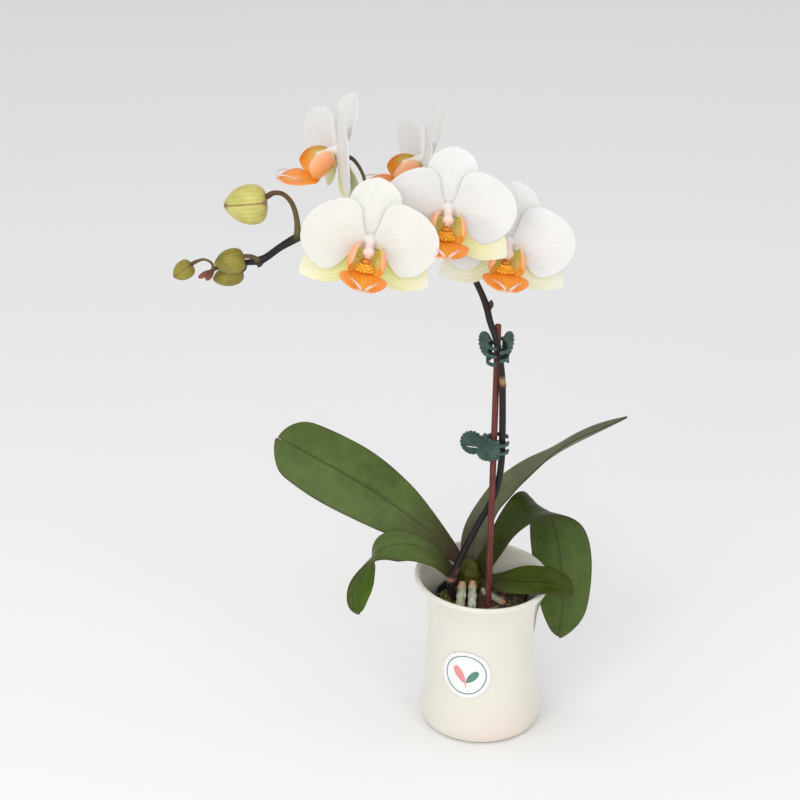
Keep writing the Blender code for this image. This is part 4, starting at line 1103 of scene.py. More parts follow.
BUD_STALKS = [
    [(-115.0, 0.0, 335.0, 2.4), (-115.2, 0.0, 346.0, 1.8), (-117.6, 0.0, 356.0, 1.6),
     (-122.6, 0.0, 362.4, 1.5),
     (-128.4, 0.0, 363.6, 1.6), (-132.4, 0.0, 361.6, 1.9), (-135.6, 0.0, 359.8, 1.7)],
    [(-139.0, -0.4, 320.6, 1.6), (-142.0, -2.6, 323.6, 1.4), (-146.4, -5.6, 325.2, 1.5),
     (-149.6, -6.4, 324.4, 1.4)],
    [(-147.0, 0.0, 318.8, 1.2), (-147.0, 2.4, 316.0, 1.1), (-148.4, 4.4, 312.8, 1.2),
     (-151.6, 4.8, 311.0, 1.2)],
    [(-166.6, -0.6, 315.4, 1.2), (-167.6, 0.0, 318.8, 0.9), (-172.4, 0.2, 321.0, 0.9),
     (-178.6, 0.1, 318.8, 1.3), (-181.4, 0.0, 316.6, 1.2)],
]
TINY_BUDS = [
    [(-166.6, -0.8, 314.6, 1.0), (-168.6, -1.0, 312.0, 2.2), (-170.2, -1.0, 309.4, 1.9),
     (-171.0, -1.0, 307.8, 0.6)],
    [(-167.4, -0.8, 314.2, 0.8), (-171.0, -2.8, 313.0, 1.8), (-174.2, -4.0, 311.4, 1.5),
     (-175.6, -4.4, 310.8, 0.5)],
]
BRACTS = [
    [(10.4, -15.6, 243.6, 2.0), (10.3, -18.4, 246.4, 1.9), (10.1, -19.4, 249.6, 1.3),
     (10.0, -19.2, 251.2, 0.5)],
    [(0.6, -7.0, 291.0, 1.6), (2.4, -7.4, 294.4, 1.8), (2.6, -7.2, 297.6, 0.6)],
    [(-19.0, -11.2, 108.0, 1.9), (-17.0, -12.2, 112.0, 1.5), (-15.6, -12.4, 115.6, 0.5)],
    [(-136.5, 0.0, 320.6, 1.6), (-138.4, 0.0, 317.6, 1.5), (-139.6, 0.0, 316.0, 0.5)],
    [(-112.0, 0.0, 337.0, 1.7), (-111.0, 0.0, 340.0, 1.3), (-110.4, 0.0, 342.0, 0.5)],
]
STEM_DARK = (0.014, 0.010, 0.010)
STALK_GREEN = (0.17, 0.15, 0.045)
STALK_BROWN = (0.10, 0.045, 0.028)
NODE_PINK = (0.36, 0.19, 0.14)
SCAR_TAN = (0.56, 0.36, 0.17)
TINY_RED = (0.34, 0.10, 0.06)
FUSE_GRAIN = 0.42


def make_spike(finish):
    """The flower spike fused from its stem, stalks, tiny buds and bracts, then painted part by part."""
    runs = [(SPIKE_STEM, 240, STEM_DARK, STEM_DARK)]
    runs += [(keys, 50, STALK_GREEN, STALK_BROWN) for keys in FLOWER_STALKS]
    runs += [(keys, 40, STALK_GREEN, STALK_BROWN) for keys in BUD_STALKS]
    runs += [(keys, 16, STALK_BROWN, TINY_RED) for keys in TINY_BUDS]
    runs += [(keys, 14, STEM_DARK, STALK_BROWN) for keys in BRACTS]
    tubes = [tube("run", keys, count, 4) for keys, count, root, end in runs]
    spike = join_pieces("flower_spike", tubes)
    apply_modifier(spike, "REMESH", mode="VOXEL", voxel_size=FUSE_GRAIN * MM)
    apply_modifier(spike, "SMOOTH", factor=0.5, iterations=4)
    spots, paints = [], []
    for keys, count, root, end in runs:
        rows = curve_through(keys, np.linspace(0.0, 1.0, count))
        for index, row in enumerate(rows):
            share = index / (count - 1)
            spots.append((*row[:3], row[3]))
            paints.append(np.array(root) * (1.0 - share) + np.array(end) * share)
    spots, paints = np.array(spots), np.array(paints)
    skin = spike.data.attributes.new("skin", "FLOAT_COLOR", "POINT")
    for corner in spike.data.vertices:
        here = np.array(corner.co) / MM
        away = np.linalg.norm(spots[:, :3] - here, axis=1) / spots[:, 3]
        near = np.exp(-np.minimum((away - away.min()) * 5.0, 60.0))
        colour = (paints * near[:, None]).sum(axis=0) / near.sum()
        x, y, z = here
        on_band = math.exp(-((z - 107.2) / 1.5) ** 2) * (1.0 if x < -12.0 else 0.0)
        scar = math.exp(-((x - 10.2) ** 2 + (y + 19.2) ** 2 + (z - 248.6) ** 2) / 5.0)
        collar = math.exp(-(((x + 147.0) / 2.4) ** 2 + ((z - 325.0) / 2.4) ** 2)) * 0.5
        colour = colour * (1.0 - on_band) + np.array(NODE_PINK) * on_band
        colour = colour * (1.0 - collar) + np.array(NODE_PINK) * collar
        colour = colour * (1.0 - scar) + np.array(SCAR_TAN) * scar
        skin.data[corner.index].color = (*colour, 1.0)
    finish_with(spike, finish)
    soften(spike)
    stand_for(spike, "flower_spike")


BUDS = {
    "bud_a": {"centre": (-146.0, 0.0, 356.6), "tip": (-1.0, 0.05, -0.10), "length": 26.5, "width": 22.5,
              "roll": 15.0, "sag": 0.16},
    "bud_b": {"centre": (-156.0, -7.6, 322.6), "tip": (-0.96, -0.10, -0.12), "length": 18.6, "width": 14.8,
              "roll": 70.0, "sag": 0.04},
    "bud_c": {"centre": (-158.4, 5.6, 308.4), "tip": (-0.95, 0.10, -0.30), "length": 19.4, "width": 13.0,
              "roll": 40.0, "sag": 0.04},
    "bud_d": {"centre": (-185.2, 0.0, 313.6), "tip": (-0.82, -0.10, -0.55), "length": 14.0, "width": 11.6,
              "roll": 20.0, "sag": 0.0},
}
BUD_OUTLINE = [
    (0.0, 0.02), (0.02, 0.44), (0.06, 0.70), (0.20, 0.94), (0.38, 1.0), (0.58, 0.93), (0.76, 0.72),
    (0.90, 0.42), (0.97, 0.18), (1.0, 0.02),
]


def make_bud(name, shape, finish):
    """A closed bud: three sepals meeting in sunken seams, heavy on its lower side."""
    deselect_all()
    bpy.ops.mesh.primitive_uv_sphere_add(segments=72, ring_count=40, radius=1.0)
    bud = bpy.context.object
    seam = bud.data.attributes.new("seam", "FLOAT", "POINT")
    aim = Vector(shape["tip"]).normalized()
    turn = aim.to_track_quat("Z", "Y").to_matrix()
    down = (turn.transposed() @ Vector((0.0, 0.0, -1.0))).to_2d().normalized()
    for corner in bud.data.vertices:
        share = math.acos(min(max(-corner.co.z, -1.0), 1.0)) / math.pi
        share = 0.5 - 0.5 * math.cos(share * math.pi) * (0.9 + 0.1 * abs(math.cos(share * math.pi)))
        angle = math.atan2(corner.co.y, corner.co.x)
        width = between_keys(BUD_OUTLINE, share)[0] * shape["width"] / 2
        petal = (angle - math.radians(shape["roll"])) % (2 * math.pi / 3) - math.pi / 3
        offset = abs(abs(petal) - math.pi / 3) * width / (shape["width"] / 2)
        groove = math.exp(-(offset / 0.09) ** 2)
        swell = 1.0 + 0.05 * math.cos(petal * 1.5) - 0.055 * groove
        facing_down = math.cos(angle) * down.x + math.sin(angle) * down.y
        swell *= 1.0 + shape["sag"] * max(facing_down, 0.0) * (1.0 - share)
        spot = Vector((math.cos(angle) * width * swell, math.sin(angle) * width * swell,
                       (share - 0.5) * shape["length"]))
        corner.co = (turn @ spot + Vector(shape["centre"])) * MM
        tip_brown = max((share - 0.84) / 0.16, 0.0)
        foot_brown = max((0.10 - share) / 0.10, 0.0)
        seam.data[corner.index].value = min(groove * 0.9 + tip_brown * 0.9 + foot_brown * 0.7, 1.0)
    finish_with(bud, finish)
    soften(bud)
    stand_for(bud, name)


# ---------------------------------------------------------------- flowers

FLOWERS = {
    "flower_1": {"centre": (-71.4, -52.0, 348.8), "facing": (0.03, -1.0, 0.05), "roll": 8.0, "nod": 0.0,
                 "twist": 6.0, "lean": -7.0, "breadth": 1.00,
                 "warm": True, "green": 1.0},
    "flower_2": {"centre": (-25.3, -25.0, 359.0), "facing": (0.05, -1.0, 0.05), "roll": 6.0, "nod": 0.0,
                 "twist": 3.0, "lean": -7.0, "breadth": 1.00,
                 "warm": False, "green": 0.95},
    "flower_3": {"centre": (11.3, -6.0, 331.2), "facing": (0.05, -1.0, 0.05), "roll": 7.0, "nod": 0.0,
                 "twist": 2.0, "lean": -7.0, "breadth": 1.00,
                 "warm": False, "green": 0.55},
    "flower_4": {"centre": (-90.2, 9.6, 383.0), "facing": (-0.93, -0.36, 0.05), "roll": 3.0, "nod": 9.0,
                 "twist": 0.0, "lean": -12.0, "breadth": 0.90,
                 "warm": False, "green": 0.8},
    "flower_5": {"centre": (-38.0, 52.0, 364.0), "facing": (-0.96, -0.25, 0.10), "roll": 5.0, "nod": 6.0,
                 "twist": 0.0, "lean": -12.0, "breadth": 0.76,
                 "warm": False, "green": 0.6},
}
# Outline rows: reach along the organ, then how far it spreads above and below its axis
DORSAL = {
    "angle": 88.0, "base_z": 0.0, "sweep": -7.0, "cup": 1.8, "bow": 0.8, "groove": 0.4, "ruffle": 0.25,
    "outline": [(1.2, 2.4, 2.4), (5.0, 4.2, 4.2), (9.0, 6.6, 6.6), (14.0, 10.4, 10.4), (20.0, 13.8, 13.8),
                (26.0, 15.2, 15.2), (31.0, 14.2, 14.4), (35.5, 10.8, 11.0), (38.4, 6.4, 6.6),
                (40.2, 0.6, 0.6)],
}
LATERAL = {
    "angle": -31.0, "base_z": 0.0, "sweep": -7.0, "cup": 1.6, "bow": 1.0, "groove": 0.4, "ruffle": 0.3,
    "outline": [(1.2, 2.6, 2.6), (5.0, 5.0, 5.2), (10.0, 8.8, 9.4), (16.0, 12.2, 12.0), (23.0, 13.6, 12.8),
                (30.0, 12.8, 11.8), (36.0, 9.8, 8.6), (41.0, 5.0, 4.4), (44.6, 0.7, 0.7)],
}
PETAL = {
    "angle": 16.0, "base_z": 1.6, "sweep": 9.0, "cup": -1.8, "bow": -0.8, "groove": 0.25, "ruffle": 0.45,
    "outline": [(1.4, 2.4, 1.2), (3.0, 4.4, 1.5), (4.8, 6.8, 2.2), (7.0, 9.8, 4.0), (9.2, 13.4, 8.8),
                (11.4, 17.6, 15.6), (13.8, 20.8, 19.8), (18.0, 22.8, 22.4), (24.0, 22.2, 22.2),
                (30.0, 18.9, 18.9),
                (35.0, 14.6, 15.0), (38.4, 9.8, 10.4), (40.4, 5.6, 6.0), (41.2, 0.9, 0.9)],
}
TEPAL_ROWS = 34
TEPAL_COLUMNS = 24
TEPAL_THICKNESS = 0.75

# Control rows of one side lobe from its base to its free margin; each runs from its back to its front
SIDE_LOBE = [
    [(1.6, -3.6, 2.0), (2.4, -7.4, 5.0), (3.2, -10.4, 7.5), (4.0, -13.0, 10.0), (4.8, -15.4, 12.6)],
    [(4.6, -2.8, 2.8), (7.2, -6.2, 6.4), (8.8, -9.2, 9.8), (9.0, -11.8, 12.8), (7.8, -14.0, 15.0)],
    [(6.8, 0.0, 4.2), (10.0, -2.6, 8.6), (11.8, -5.2, 12.8), (11.8, -8.2, 16.0), (10.0, -11.4, 18.0)],
    [(6.6, 3.4, 5.6), (9.2, 2.2, 10.2), (10.8, 0.0, 15.0), (11.0, -3.8, 19.0), (10.0, -8.0, 20.2)],
    [(3.4, 4.6, 6.6), (4.8, 5.0, 10.8), (6.4, 3.6, 15.6), (7.6, -0.4, 20.0), (8.2, -5.8, 21.2)],
]
# Control rows of the middle lobe from the waist forward: z, y at the middle, half width, rise of its margins
MID_LOBE = [
    (10.6, -13.2, 3.0, 0.4), (13.0, -13.5, 5.6, 0.8), (15.0, -13.9, 10.2, 1.6), (17.4, -14.4, 13.2, 2.4),
    (20.6, -15.0, 14.4, 2.8), (24.4, -15.9, 14.2, 2.8), (28.2, -16.8, 12.4, 2.4), (31.6, -17.3, 9.0, 1.8),
    (34.4, -17.2, 5.4, 1.0), (36.6, -16.4, 2.2, 0.3),
]
CIRRUS = [
    (1.0, -16.4, 35.8, 1.5), (2.2, -14.4, 36.6, 1.6), (3.9, -13.2, 35.2, 1.4), (5.6, -12.8, 32.4, 1.1),
    (7.4, -13.0, 29.4, 0.7), (9.0, -13.4, 26.6, 0.15),
]
# The hollow between the side lobes, from its back down to the callus; each row runs left to right
THROAT = [
    (-0.6, 1.2, 6.4, -0.5, 1.4), (-4.6, 3.4, 7.4, -1.2, 2.0), (-8.6, 6.2, 7.2, -1.0, 2.6),
    (-11.4, 9.2, 6.4, -0.6, 2.4), (-13.4, 12.0, 5.0, 0.2, 1.2),
]
COLUMN_KEYS = [
    (0.0, 4.4, 0.2, 3.6), (0.0, 4.0, 2.6, 3.4), (0.0, 3.0, 5.2, 3.0), (0.0, 1.6, 7.8, 2.8),
    (0.0, 0.2, 10.2, 3.0), (0.0, -1.2, 12.2, 2.8), (0.0, -2.4, 13.6, 1.8), (0.0, -2.8, 14.2, 0.6),
]
COLUMN_LENGTH = 15.0


def flower_matrix(flower):
    """Placing matrix of a flower from its centre, its facing direction and its roll."""
    facing = Vector(flower["facing"]).normalized()
    up = Vector((0.0, 0.0, 1.0))
    up = (up - facing * up.dot(facing)).normalized()
    right = up.cross(facing)
    roll = math.radians(flower["roll"])
    rolled_up = up * math.cos(roll) + right * math.sin(roll)
    rolled_right = right * math.cos(roll) - up * math.sin(roll)
    turn = Matrix((rolled_right, rolled_up, facing)).transposed().to_4x4()
    return Matrix.Translation(flower["centre"]) @ turn


def make_tepal(name, shape, mirrored, matrix, front, back, seed):
    """A sepal or petal: broad, cupped, with a soft keel and a barely ruffled margin."""
    angle = math.radians(180.0 - shape["angle"] if mirrored else shape["angle"])
    out = Vector((math.cos(angle), math.sin(angle), 0.0))
    sideways = Vector((out.y, -out.x, 0.0))
    first, last = shape["outline"][0][0], shape["outline"][-1][0]
    widest = max(row[1] for row in shape["outline"])
    upper = 1.0 if mirrored else -1.0

    def place(across, along):
        share = 0.3 * along + 0.7 * (0.5 - 0.5 * math.cos(math.pi * along))
        reach = first + (last - first) * share
        high, low = between_keys(shape["outline"], reach)
        half = max(high if across * upper > 0.0 else low, 0.3)
        side = half * across
        lift = shape["base_z"] + reach * math.tan(math.radians(shape["sweep"]))
        lift += shape["cup"] * (side / widest) ** 2 + shape["bow"] * math.sin(math.pi * share)
        lift -= shape["groove"] * math.exp(-(across / 0.10) ** 2) * math.sin(math.pi * share)
        edge = abs(across) ** 3 * min(half / widest, 1.0)
        lift += shape["ruffle"] * edge * math.sin(share * 15.0 + seed + (1.7 if across > 0.0 else 0.0))
        swell = 0.35 * noise.noise(Vector((reach * 0.09, side * 0.09, seed * 5.0)))
        return matrix @ (out * reach + sideways * side + Vector((0.0, 0.0, lift + swell)))

    tepal = shaped_grid(name, TEPAL_COLUMNS, TEPAL_ROWS, place)
    finish_with(tepal, front, back)
    thicken(tepal, TEPAL_THICKNESS, 0.0, 1, True)
    stand_for(tepal, name)


def cage_sheet(name, rows, matrix, thickness, smoothing, *finishes):
    """A smooth sheet grown from a few rows of control points."""
    last_row, last_column = len(rows) - 1, len(rows[0]) - 1

    def place(across, along):
        row = round(along * last_row)
        column = round((across + 1.0) / 2.0 * last_column)
        return matrix @ Vector(rows[row][column])

    sheet = shaped_grid(name, last_column, last_row, place)
    finish_with(sheet, *finishes)
    thicken(sheet, thickness, 0.0, smoothing, len(finishes) > 1)
    return sheet


def make_lip(name, matrix, finishes):
    """The lip: two cupped side lobes, a broad middle lobe with two folded tips, and a warty callus."""
    parts = []
    for side in (-1.0, 1.0):
        lobe = [[(side * x, y, z) for x, y, z in row] for row in SIDE_LOBE]
        faces = ((finishes["inner"], finishes["side"]) if side > 0.0
                 else (finishes["side"], finishes["inner"]))
        parts.append(cage_sheet("side_lobe", lobe, matrix, 0.7, 3, *faces))
        tip = []
        for x, y, z, width in CIRRUS:
            tip.append([(side * (x - 0.7 * width), y, z), (side * x, y + 0.4, z),
                        (side * (x + 0.7 * width), y, z)])
        parts.append(cage_sheet("cirrus", tip, matrix, 0.35, 3, finishes["cirrus"]))
    middle = []
    for z, y, half, rise in MID_LOBE:
        row = []
        for step in range(-4, 5):
            across = step / 4.0
            crease = 0.6 * math.exp(-(across / 0.2) ** 2)
            drop = y + rise * across ** 2 - 1.6 * abs(across) ** 6 - crease
            row.append((-half * across, drop, z - 1.4 * across ** 2))
        middle.append(row)
    parts.append(cage_sheet("mid_lobe", middle, matrix, 0.9, 2, finishes["mid"]))
    hollow = []
    for y, z, half, rise, bring in THROAT:
        steps = (-1.0, -0.5, 0.0, 0.5, 1.0)
        hollow.append([(half * step, y + rise * step ** 2, z + bring * step ** 2) for step in steps])
    parts.append(cage_sheet("throat", hollow, matrix, 0.5, 2, finishes["throat"]))
    warts = [((0.0, -10.8, 11.8), (4.4, 2.8, 2.8), "callus"), ((0.0, -7.0, 10.0), (3.1, 2.5, 2.2), "knob")]
    for ring in range(3):
        for step in range(9):
            turn = math.pi * (step - 4) / 7.2 + 0.2 * ring
            width = 5.0 - 0.8 * ring
            spot = (width * math.sin(turn), -11.4 + 1.5 * ring, 11.8 + (3.2 - 0.8 * ring) * math.cos(turn))
            size = 0.85 + 0.25 * ((step * 7 + ring * 3) % 5) / 4.0
            warts.append((spot, (size, size * 1.15, size), "callus"))
    for spot, size, finish in warts:
        deselect_all()
        bpy.ops.mesh.primitive_ico_sphere_add(subdivisions=3 if size[0] > 1.0 else 2, radius=1.0)
        wart = bpy.context.object
        for corner in wart.data.vertices:
            rough = 1.0 + 0.25 * noise.noise(corner.co * 2.4 + Vector(spot))
            corner.co = Vector((corner.co.x * size[0], corner.co.y * size[1],
                                corner.co.z * size[2])) * rough
        wart.data.transform(Matrix.Scale(MM, 4) @ matrix @ Matrix.Translation(spot))
        finish_with(wart, finishes[finish])
        soften(wart)
        parts.append(wart)
    stand_for(join_pieces(name, parts), name)


def make_column(name, matrix, finish):
    """The column: a waxy neck with a hooded anther cap and two small teeth under it."""
    placed = [(*(matrix @ Vector(row[:3])), row[3]) for row in COLUMN_KEYS]
    parts = [tube("neck", placed, 30, 6)]
    details = [
        ((0.0, -0.5, 12.2), (3.7, 2.7, 2.7)), ((-2.2, -1.8, 10.4), (1.3, 1.6, 2.0)),
        ((2.2, -1.8, 10.4), (1.3, 1.6, 2.0)),
        ((-0.9, -3.4, 13.2), (0.5, 0.9, 0.7)), ((0.9, -3.4, 13.2), (0.5, 0.9, 0.7)),
        ((0.0, 3.8, 2.0), (4.4, 3.8, 2.4)),
    ]
    for spot, size in details:
        deselect_all()
        bpy.ops.mesh.primitive_uv_sphere_add(segments=24, ring_count=16, radius=1.0)
        detail = bpy.context.object
        stretch = Matrix.Diagonal((*size, 1.0))
        detail.data.transform(Matrix.Scale(MM, 4) @ matrix @ Matrix.Translation(spot) @ stretch)
        parts.append(detail)
    column = join_pieces(name, parts)
    apply_modifier(column, "REMESH", mode="VOXEL", voxel_size=0.28 * MM)
    apply_modifier(column, "SMOOTH", factor=0.5, iterations=6)
    into_flower = matrix.inverted()
    reach = column.data.attributes.new("reach", "FLOAT", "POINT")
    for corner in column.data.vertices:
        reach.data[corner.index].value = (into_flower @ (corner.co / MM)).z / COLUMN_LENGTH
    finish_with(column, finish)
    soften(column)
    stand_for(column, name)


def make_flower(name, flower, finishes):
    """Seven organs around one centre."""
    matrix = flower_matrix(flower)
    petal = finishes["petal_warm"] if flower["warm"] else finishes["petal_cool"]
    sepal = finishes["sepals"][flower["green"]]
    back = finishes["back"]
    seed = flower["roll"] * 1.3
    dorsal = dict(DORSAL, sweep=flower["lean"])
    petals = dict(PETAL, outline=[
        (reach, high * flower["breadth"], low) for reach, high, low in PETAL["outline"]
    ])
    make_tepal(f"{name}_dorsal_sepal", dorsal, False, matrix, petal, back, seed)
    for side, mirrored in (("left", True), ("right", False)):
        lateral = dict(LATERAL)
        if name == "flower_2" and side == "right":
            lateral["sweep"] = 2.0
        seed += 2.1
        make_tepal(f"{name}_lateral_sepal_{side}", lateral, mirrored, matrix, sepal, back,
                   seed)
        make_tepal(f"{name}_petal_{side}", petals, mirrored, matrix, petal, back, seed + 1.0)
    nodded = matrix @ Matrix.Rotation(math.radians(-flower["nod"]), 4, "X")
    nodded = nodded @ Matrix.Rotation(math.radians(-flower["twist"]), 4, "Z")
    make_lip(f"{name}_lip", nodded, finishes)
    make_column(f"{name}_column", nodded, finishes["column"])


# ---------------------------------------------------------------- clips

CLIP_HEIGHT = 16.0
CLIP_WALL = 1.5
PIN_RADIUS = 0.9
KNUCKLE_RADIUS = 2.2
KNUCKLE_LENGTH = 2.4
OUTER_KNUCKLE = 6.6
INNER_KNUCKLE = 3.9
FINGER_LINE = [(-6.1, 5.4), (-6.3, 8.6), (-5.2, 11.4), (-3.0, 13.4), (-0.9, 14.2)]
SHOULDER_LINE = [(-3.5, 0.2), (-4.6, 2.8), (-6.1, 5.4), (-6.4, 8.0)]
TAB_LINE = [(-6.3, 8.6), (-6.1, 5.4), (-4.4, 2.6), (-3.3, 0.0), (-3.7, -2.0), (-5.0, -5.0), (-7.2, -9.4),
            (-9.4, -13.6), (-10.6, -16.0)]
TAB_RADIUS = 7.7
TAB_LENGTH = 26.8
TAB_SEAT = 17.5
SCALLOPS = 18
THREE_FINGERS = (-5.4, 0.0, 5.4)
TWO_FINGERS = (-2.7, 2.7)
CLIPS = {
    "clip_upper": {"hinge": (6.7, -8.2, 266.0), "turn": 180.0, "fixed": TWO_FINGERS,
                   "moving": THREE_FINGERS, "seat": TAB_SEAT},
    "clip_lower": {"hinge": (0.2, -13.6, 202.0), "turn": -84.0, "fixed": THREE_FINGERS,
                   "moving": TWO_FINGERS, "seat": 8.2},
}


def clip_bar(line, side, low, high, wall, rounding):
    """A curved bar standing on a plan line, with rounded edges."""
    keys = [(-side * x, y, 0.0) for x, y in line]
    steps = 14
    rows = curve_through(keys, np.linspace(0.0, 1.0, steps + 1))

    def place(across, along):
        row = rows[round(along * steps)]
        return row[0], row[1], (low + high) / 2 + (high - low) / 2 * across

    bar = shaped_grid("bar", 1, steps, place)
    apply_modifier(bar, "SOLIDIFY", thickness=wall * MM, offset=0.0)
    apply_modifier(bar, "BEVEL", width=rounding * MM, segments=3, limit_method="ANGLE",
                   angle_limit=math.radians(50.0))
    return bar


def clip_tab(side, seat):
    """The finger tab: a round plate with a scalloped edge and ribs that fan from its middle."""
    keys = [(-side * x, y, 0.0) for x, y in TAB_LINE]
    rows = curve_through(keys, np.linspace(0.0, 1.0, 101))
    rings, spokes = 12, SCALLOPS * 6

    def on_tab(along, height, lift):
        share = min(max(along / TAB_LENGTH, 0.0), 1.0)
        index = min(int(share * 100), 99)
        here = Vector(rows[index]).lerp(Vector(rows[index + 1]), share * 100 - index)
        run = (Vector(rows[index + 1]) - Vector(rows[index])).normalized()
        outward = Vector((run.y, -run.x, 0.0)) * side
        if outward.x * side < 0.0:
            outward = -outward
        return here + outward * lift + Vector((0.0, 0.0, height))

    tab = shaped_grid("tab", spokes, rings, lambda across, along: (0.0, 0.0, 0.0))
    for corner in tab.data.vertices:
        angle = 2 * math.pi * (corner.index % (spokes + 1)) / spokes
        ring = corner.index // (spokes + 1) / rings
        wave = math.cos(SCALLOPS * angle)
        reach = TAB_RADIUS * ring * (1.0 + 0.045 * wave * ring ** 4)
        rib = 0.32 * wave * min(ring * 1.6, 1.0) * (1.0 if ring > 0.16 else 0.0)
        boss = 0.5 * math.exp(-(ring / 0.22) ** 2)
        corner.co = on_tab(seat + reach * math.cos(angle), reach * math.sin(angle), rib + boss + 0.4) * MM
    face_outwards(tab)
    apply_modifier(tab, "SOLIDIFY", thickness=CLIP_WALL * MM, offset=0.0)
    apply_modifier(tab, "BEVEL", width=0.3 * MM, segments=2, limit_method="ANGLE",
                   angle_limit=math.radians(50.0))
    return tab


def clip_barrel(radius, low, high, rounding):
    """A short round knuckle or pin on the hinge line."""
    deselect_all()
    bpy.ops.mesh.primitive_cylinder_add(vertices=32, radius=radius * MM, depth=(high - low) * MM,
                                        location=(0.0, 0.0, (low + high) / 2 * MM), end_fill_type="NGON")
    barrel = bpy.context.object
    fix_in_place(barrel)
    apply_modifier(barrel, "BEVEL", width=rounding * MM, segments=3, limit_method="ANGLE")
    return barrel


def make_jaw(node, side, fingers, knuckle, with_pin, seat, matrix, finish, body):
    """One jaw: tab, shoulder, hooked fingers and its pair of hinge knuckles."""
    half = CLIP_HEIGHT / 2
    parts = [clip_tab(side, seat), clip_bar(SHOULDER_LINE, side, -half + 1.4, half - 1.4, CLIP_WALL, 0.5)]
    for level in fingers:
        parts.append(clip_bar(FINGER_LINE, side, level - 1.2, level + 1.2, CLIP_WALL, 0.6))
    for level in (-knuckle, knuckle):
        low, high = level - KNUCKLE_LENGTH / 2, level + KNUCKLE_LENGTH / 2
        parts.append(clip_barrel(KNUCKLE_RADIUS, low, high, 0.3))
        parts.append(clip_bar([(-1.6, 0.0), (-3.9, 0.1)], side, low + 0.1, high - 0.1, CLIP_WALL, 0.3))
    if with_pin:
        parts.append(clip_barrel(PIN_RADIUS, -half + 0.2, half - 0.2, 0.2))
    jaw = join_pieces(node, parts)
    jaw.data.transform(Matrix.Translation(matrix.to_translation() * MM) @ matrix.to_3x3().to_4x4())
    finish_with(jaw, finish)
    soften(jaw, 35.0)
    stand_for(jaw, node, body)


def make_spring(node, matrix, finish):
    """A wire spring: a close coil round the pin, with one leg lying on each tab."""
    keys = [(-6.0, -10.6, -1.9, 0.38), (-4.2, -6.6, -1.9, 0.38), (-2.9, -3.6, -1.9, 0.38),
            (-1.9, -1.6, -1.9, 0.38)]
    turns, steps = 4, 12
    for step in range(turns * steps + 1):
        angle = math.pi + 2 * math.pi * step / steps
        keys.append((1.62 * math.cos(angle), 1.62 * math.sin(angle), -1.9 + 3.8 * step / (turns * steps),
                     0.38))
    keys[-1:] = [(1.9, -1.6, 1.9, 0.38), (2.6, -4.0, 1.9, 0.38), (3.9, -7.0, 1.9, 0.38)]
    placed = [(*(matrix @ Vector(row[:3])), row[3]) for row in keys]
    spring = tube(node, placed, 220, 2)
    finish_with(spring, finish)
    soften(spring)
    stand_for(spring, node)


def make_clips(plastic, wire):
    """Both claw clips, each with its moving jaw riding on its own body."""
    for name, clip in CLIPS.items():
        matrix = Matrix.Translation(clip["hinge"]) @ Matrix.Rotation(math.radians(clip["turn"]), 4, "Z")
        make_jaw(f"{name}_fixed_jaw", -1.0, clip["fixed"], OUTER_KNUCKLE, True, TAB_SEAT, matrix, plastic,
                 PLANT)
        make_jaw(f"{name}_moving_jaw", 1.0, clip["moving"], INNER_KNUCKLE, False, clip["seat"], matrix,
                 plastic, f"{name}_jaw")
        make_spring(f"{name}_spring", matrix, wire)


# ---------------------------------------------------------------- studio


def soft_light(name, place, aim, width, power):
    """A large soft box aimed at a point."""
    box = bpy.data.lights.new(name, "AREA")
    box.shape = "RECTANGLE"
    box.size = width
    box.size_y = width * 0.8
    box.energy = power
    lamp = bpy.data.objects.new(name, box)
    lamp.location = place
    lamp.rotation_euler = (Vector(aim) - Vector(place)).to_track_quat("-Z", "Y").to_euler()
    bpy.context.scene.collection.objects.link(lamp)


# Each soft box: name, place, the point it faces, width in metres and power
SOFT_BOXES = [
    ("left_box", (-0.95, -1.6, 1.35), (-0.03, 0.0, 0.22), 1.0, 10.0),
    ("right_box", (0.85, -1.6, 1.20), (-0.03, 0.0, 0.20), 0.9, 5.0),
    ("front_box", (-0.10, -1.65, 0.95), (-0.03, 0.0, 0.16), 0.5, 4.6),
    ("top_box", (-0.2, 0.1, 1.9), (-0.03, 0.0, 0.20), 1.4, 4.0),
]
SKY_STRENGTH = 0.66
CAMERA_PLACE = (-0.053, -1.324, 0.809)
CAMERA_TILT = math.radians(66.3)
CAMERA_LENS = 104.3
CAMERA_SENSOR = 36.0


def make_studio():
    """Pale floor, even light and the camera."""
    deselect_all()
    bpy.ops.mesh.primitive_plane_add(size=30.0, location=(0.0, 0.0, -0.0004))
    floor = bpy.context.object
    floor.name = "floor"
    finish, tree, shader = start_finish("studio_floor", 0.9)
    tone = clouds(tree, object_place(tree), 0.6, 2.0)
    plug(tree, ramp(tree, tone, (0.3, (0.94, 0.94, 0.94)), (0.7, (0.96, 0.96, 0.96))),
         shader.inputs["Base Color"])
    finish_with(floor, finish)
    for name, place, aim, width, power in SOFT_BOXES:
        soft_light(name, place, aim, width, power)
    world = bpy.data.worlds.new("studio")
    world.use_nodes = True
    world.node_tree.nodes["Background"].inputs["Color"].default_value = (1.0, 1.0, 1.0, 1.0)
    world.node_tree.nodes["Background"].inputs["Strength"].default_value = SKY_STRENGTH
    bpy.context.scene.world = world
    lens = bpy.data.cameras.new("camera")
    lens.lens = CAMERA_LENS
    lens.sensor_width = CAMERA_SENSOR
    lens.clip_start = 0.05
    camera = bpy.data.objects.new("camera", lens)
    camera.location = CAMERA_PLACE
    camera.rotation_euler = (CAMERA_TILT, 0.0, 0.0)
    bpy.context.scene.collection.objects.link(camera)
    bpy.context.scene.camera = camera
    bpy.context.scene.view_settings.view_transform = "Standard"


# ---------------------------------------------------------------- make everything

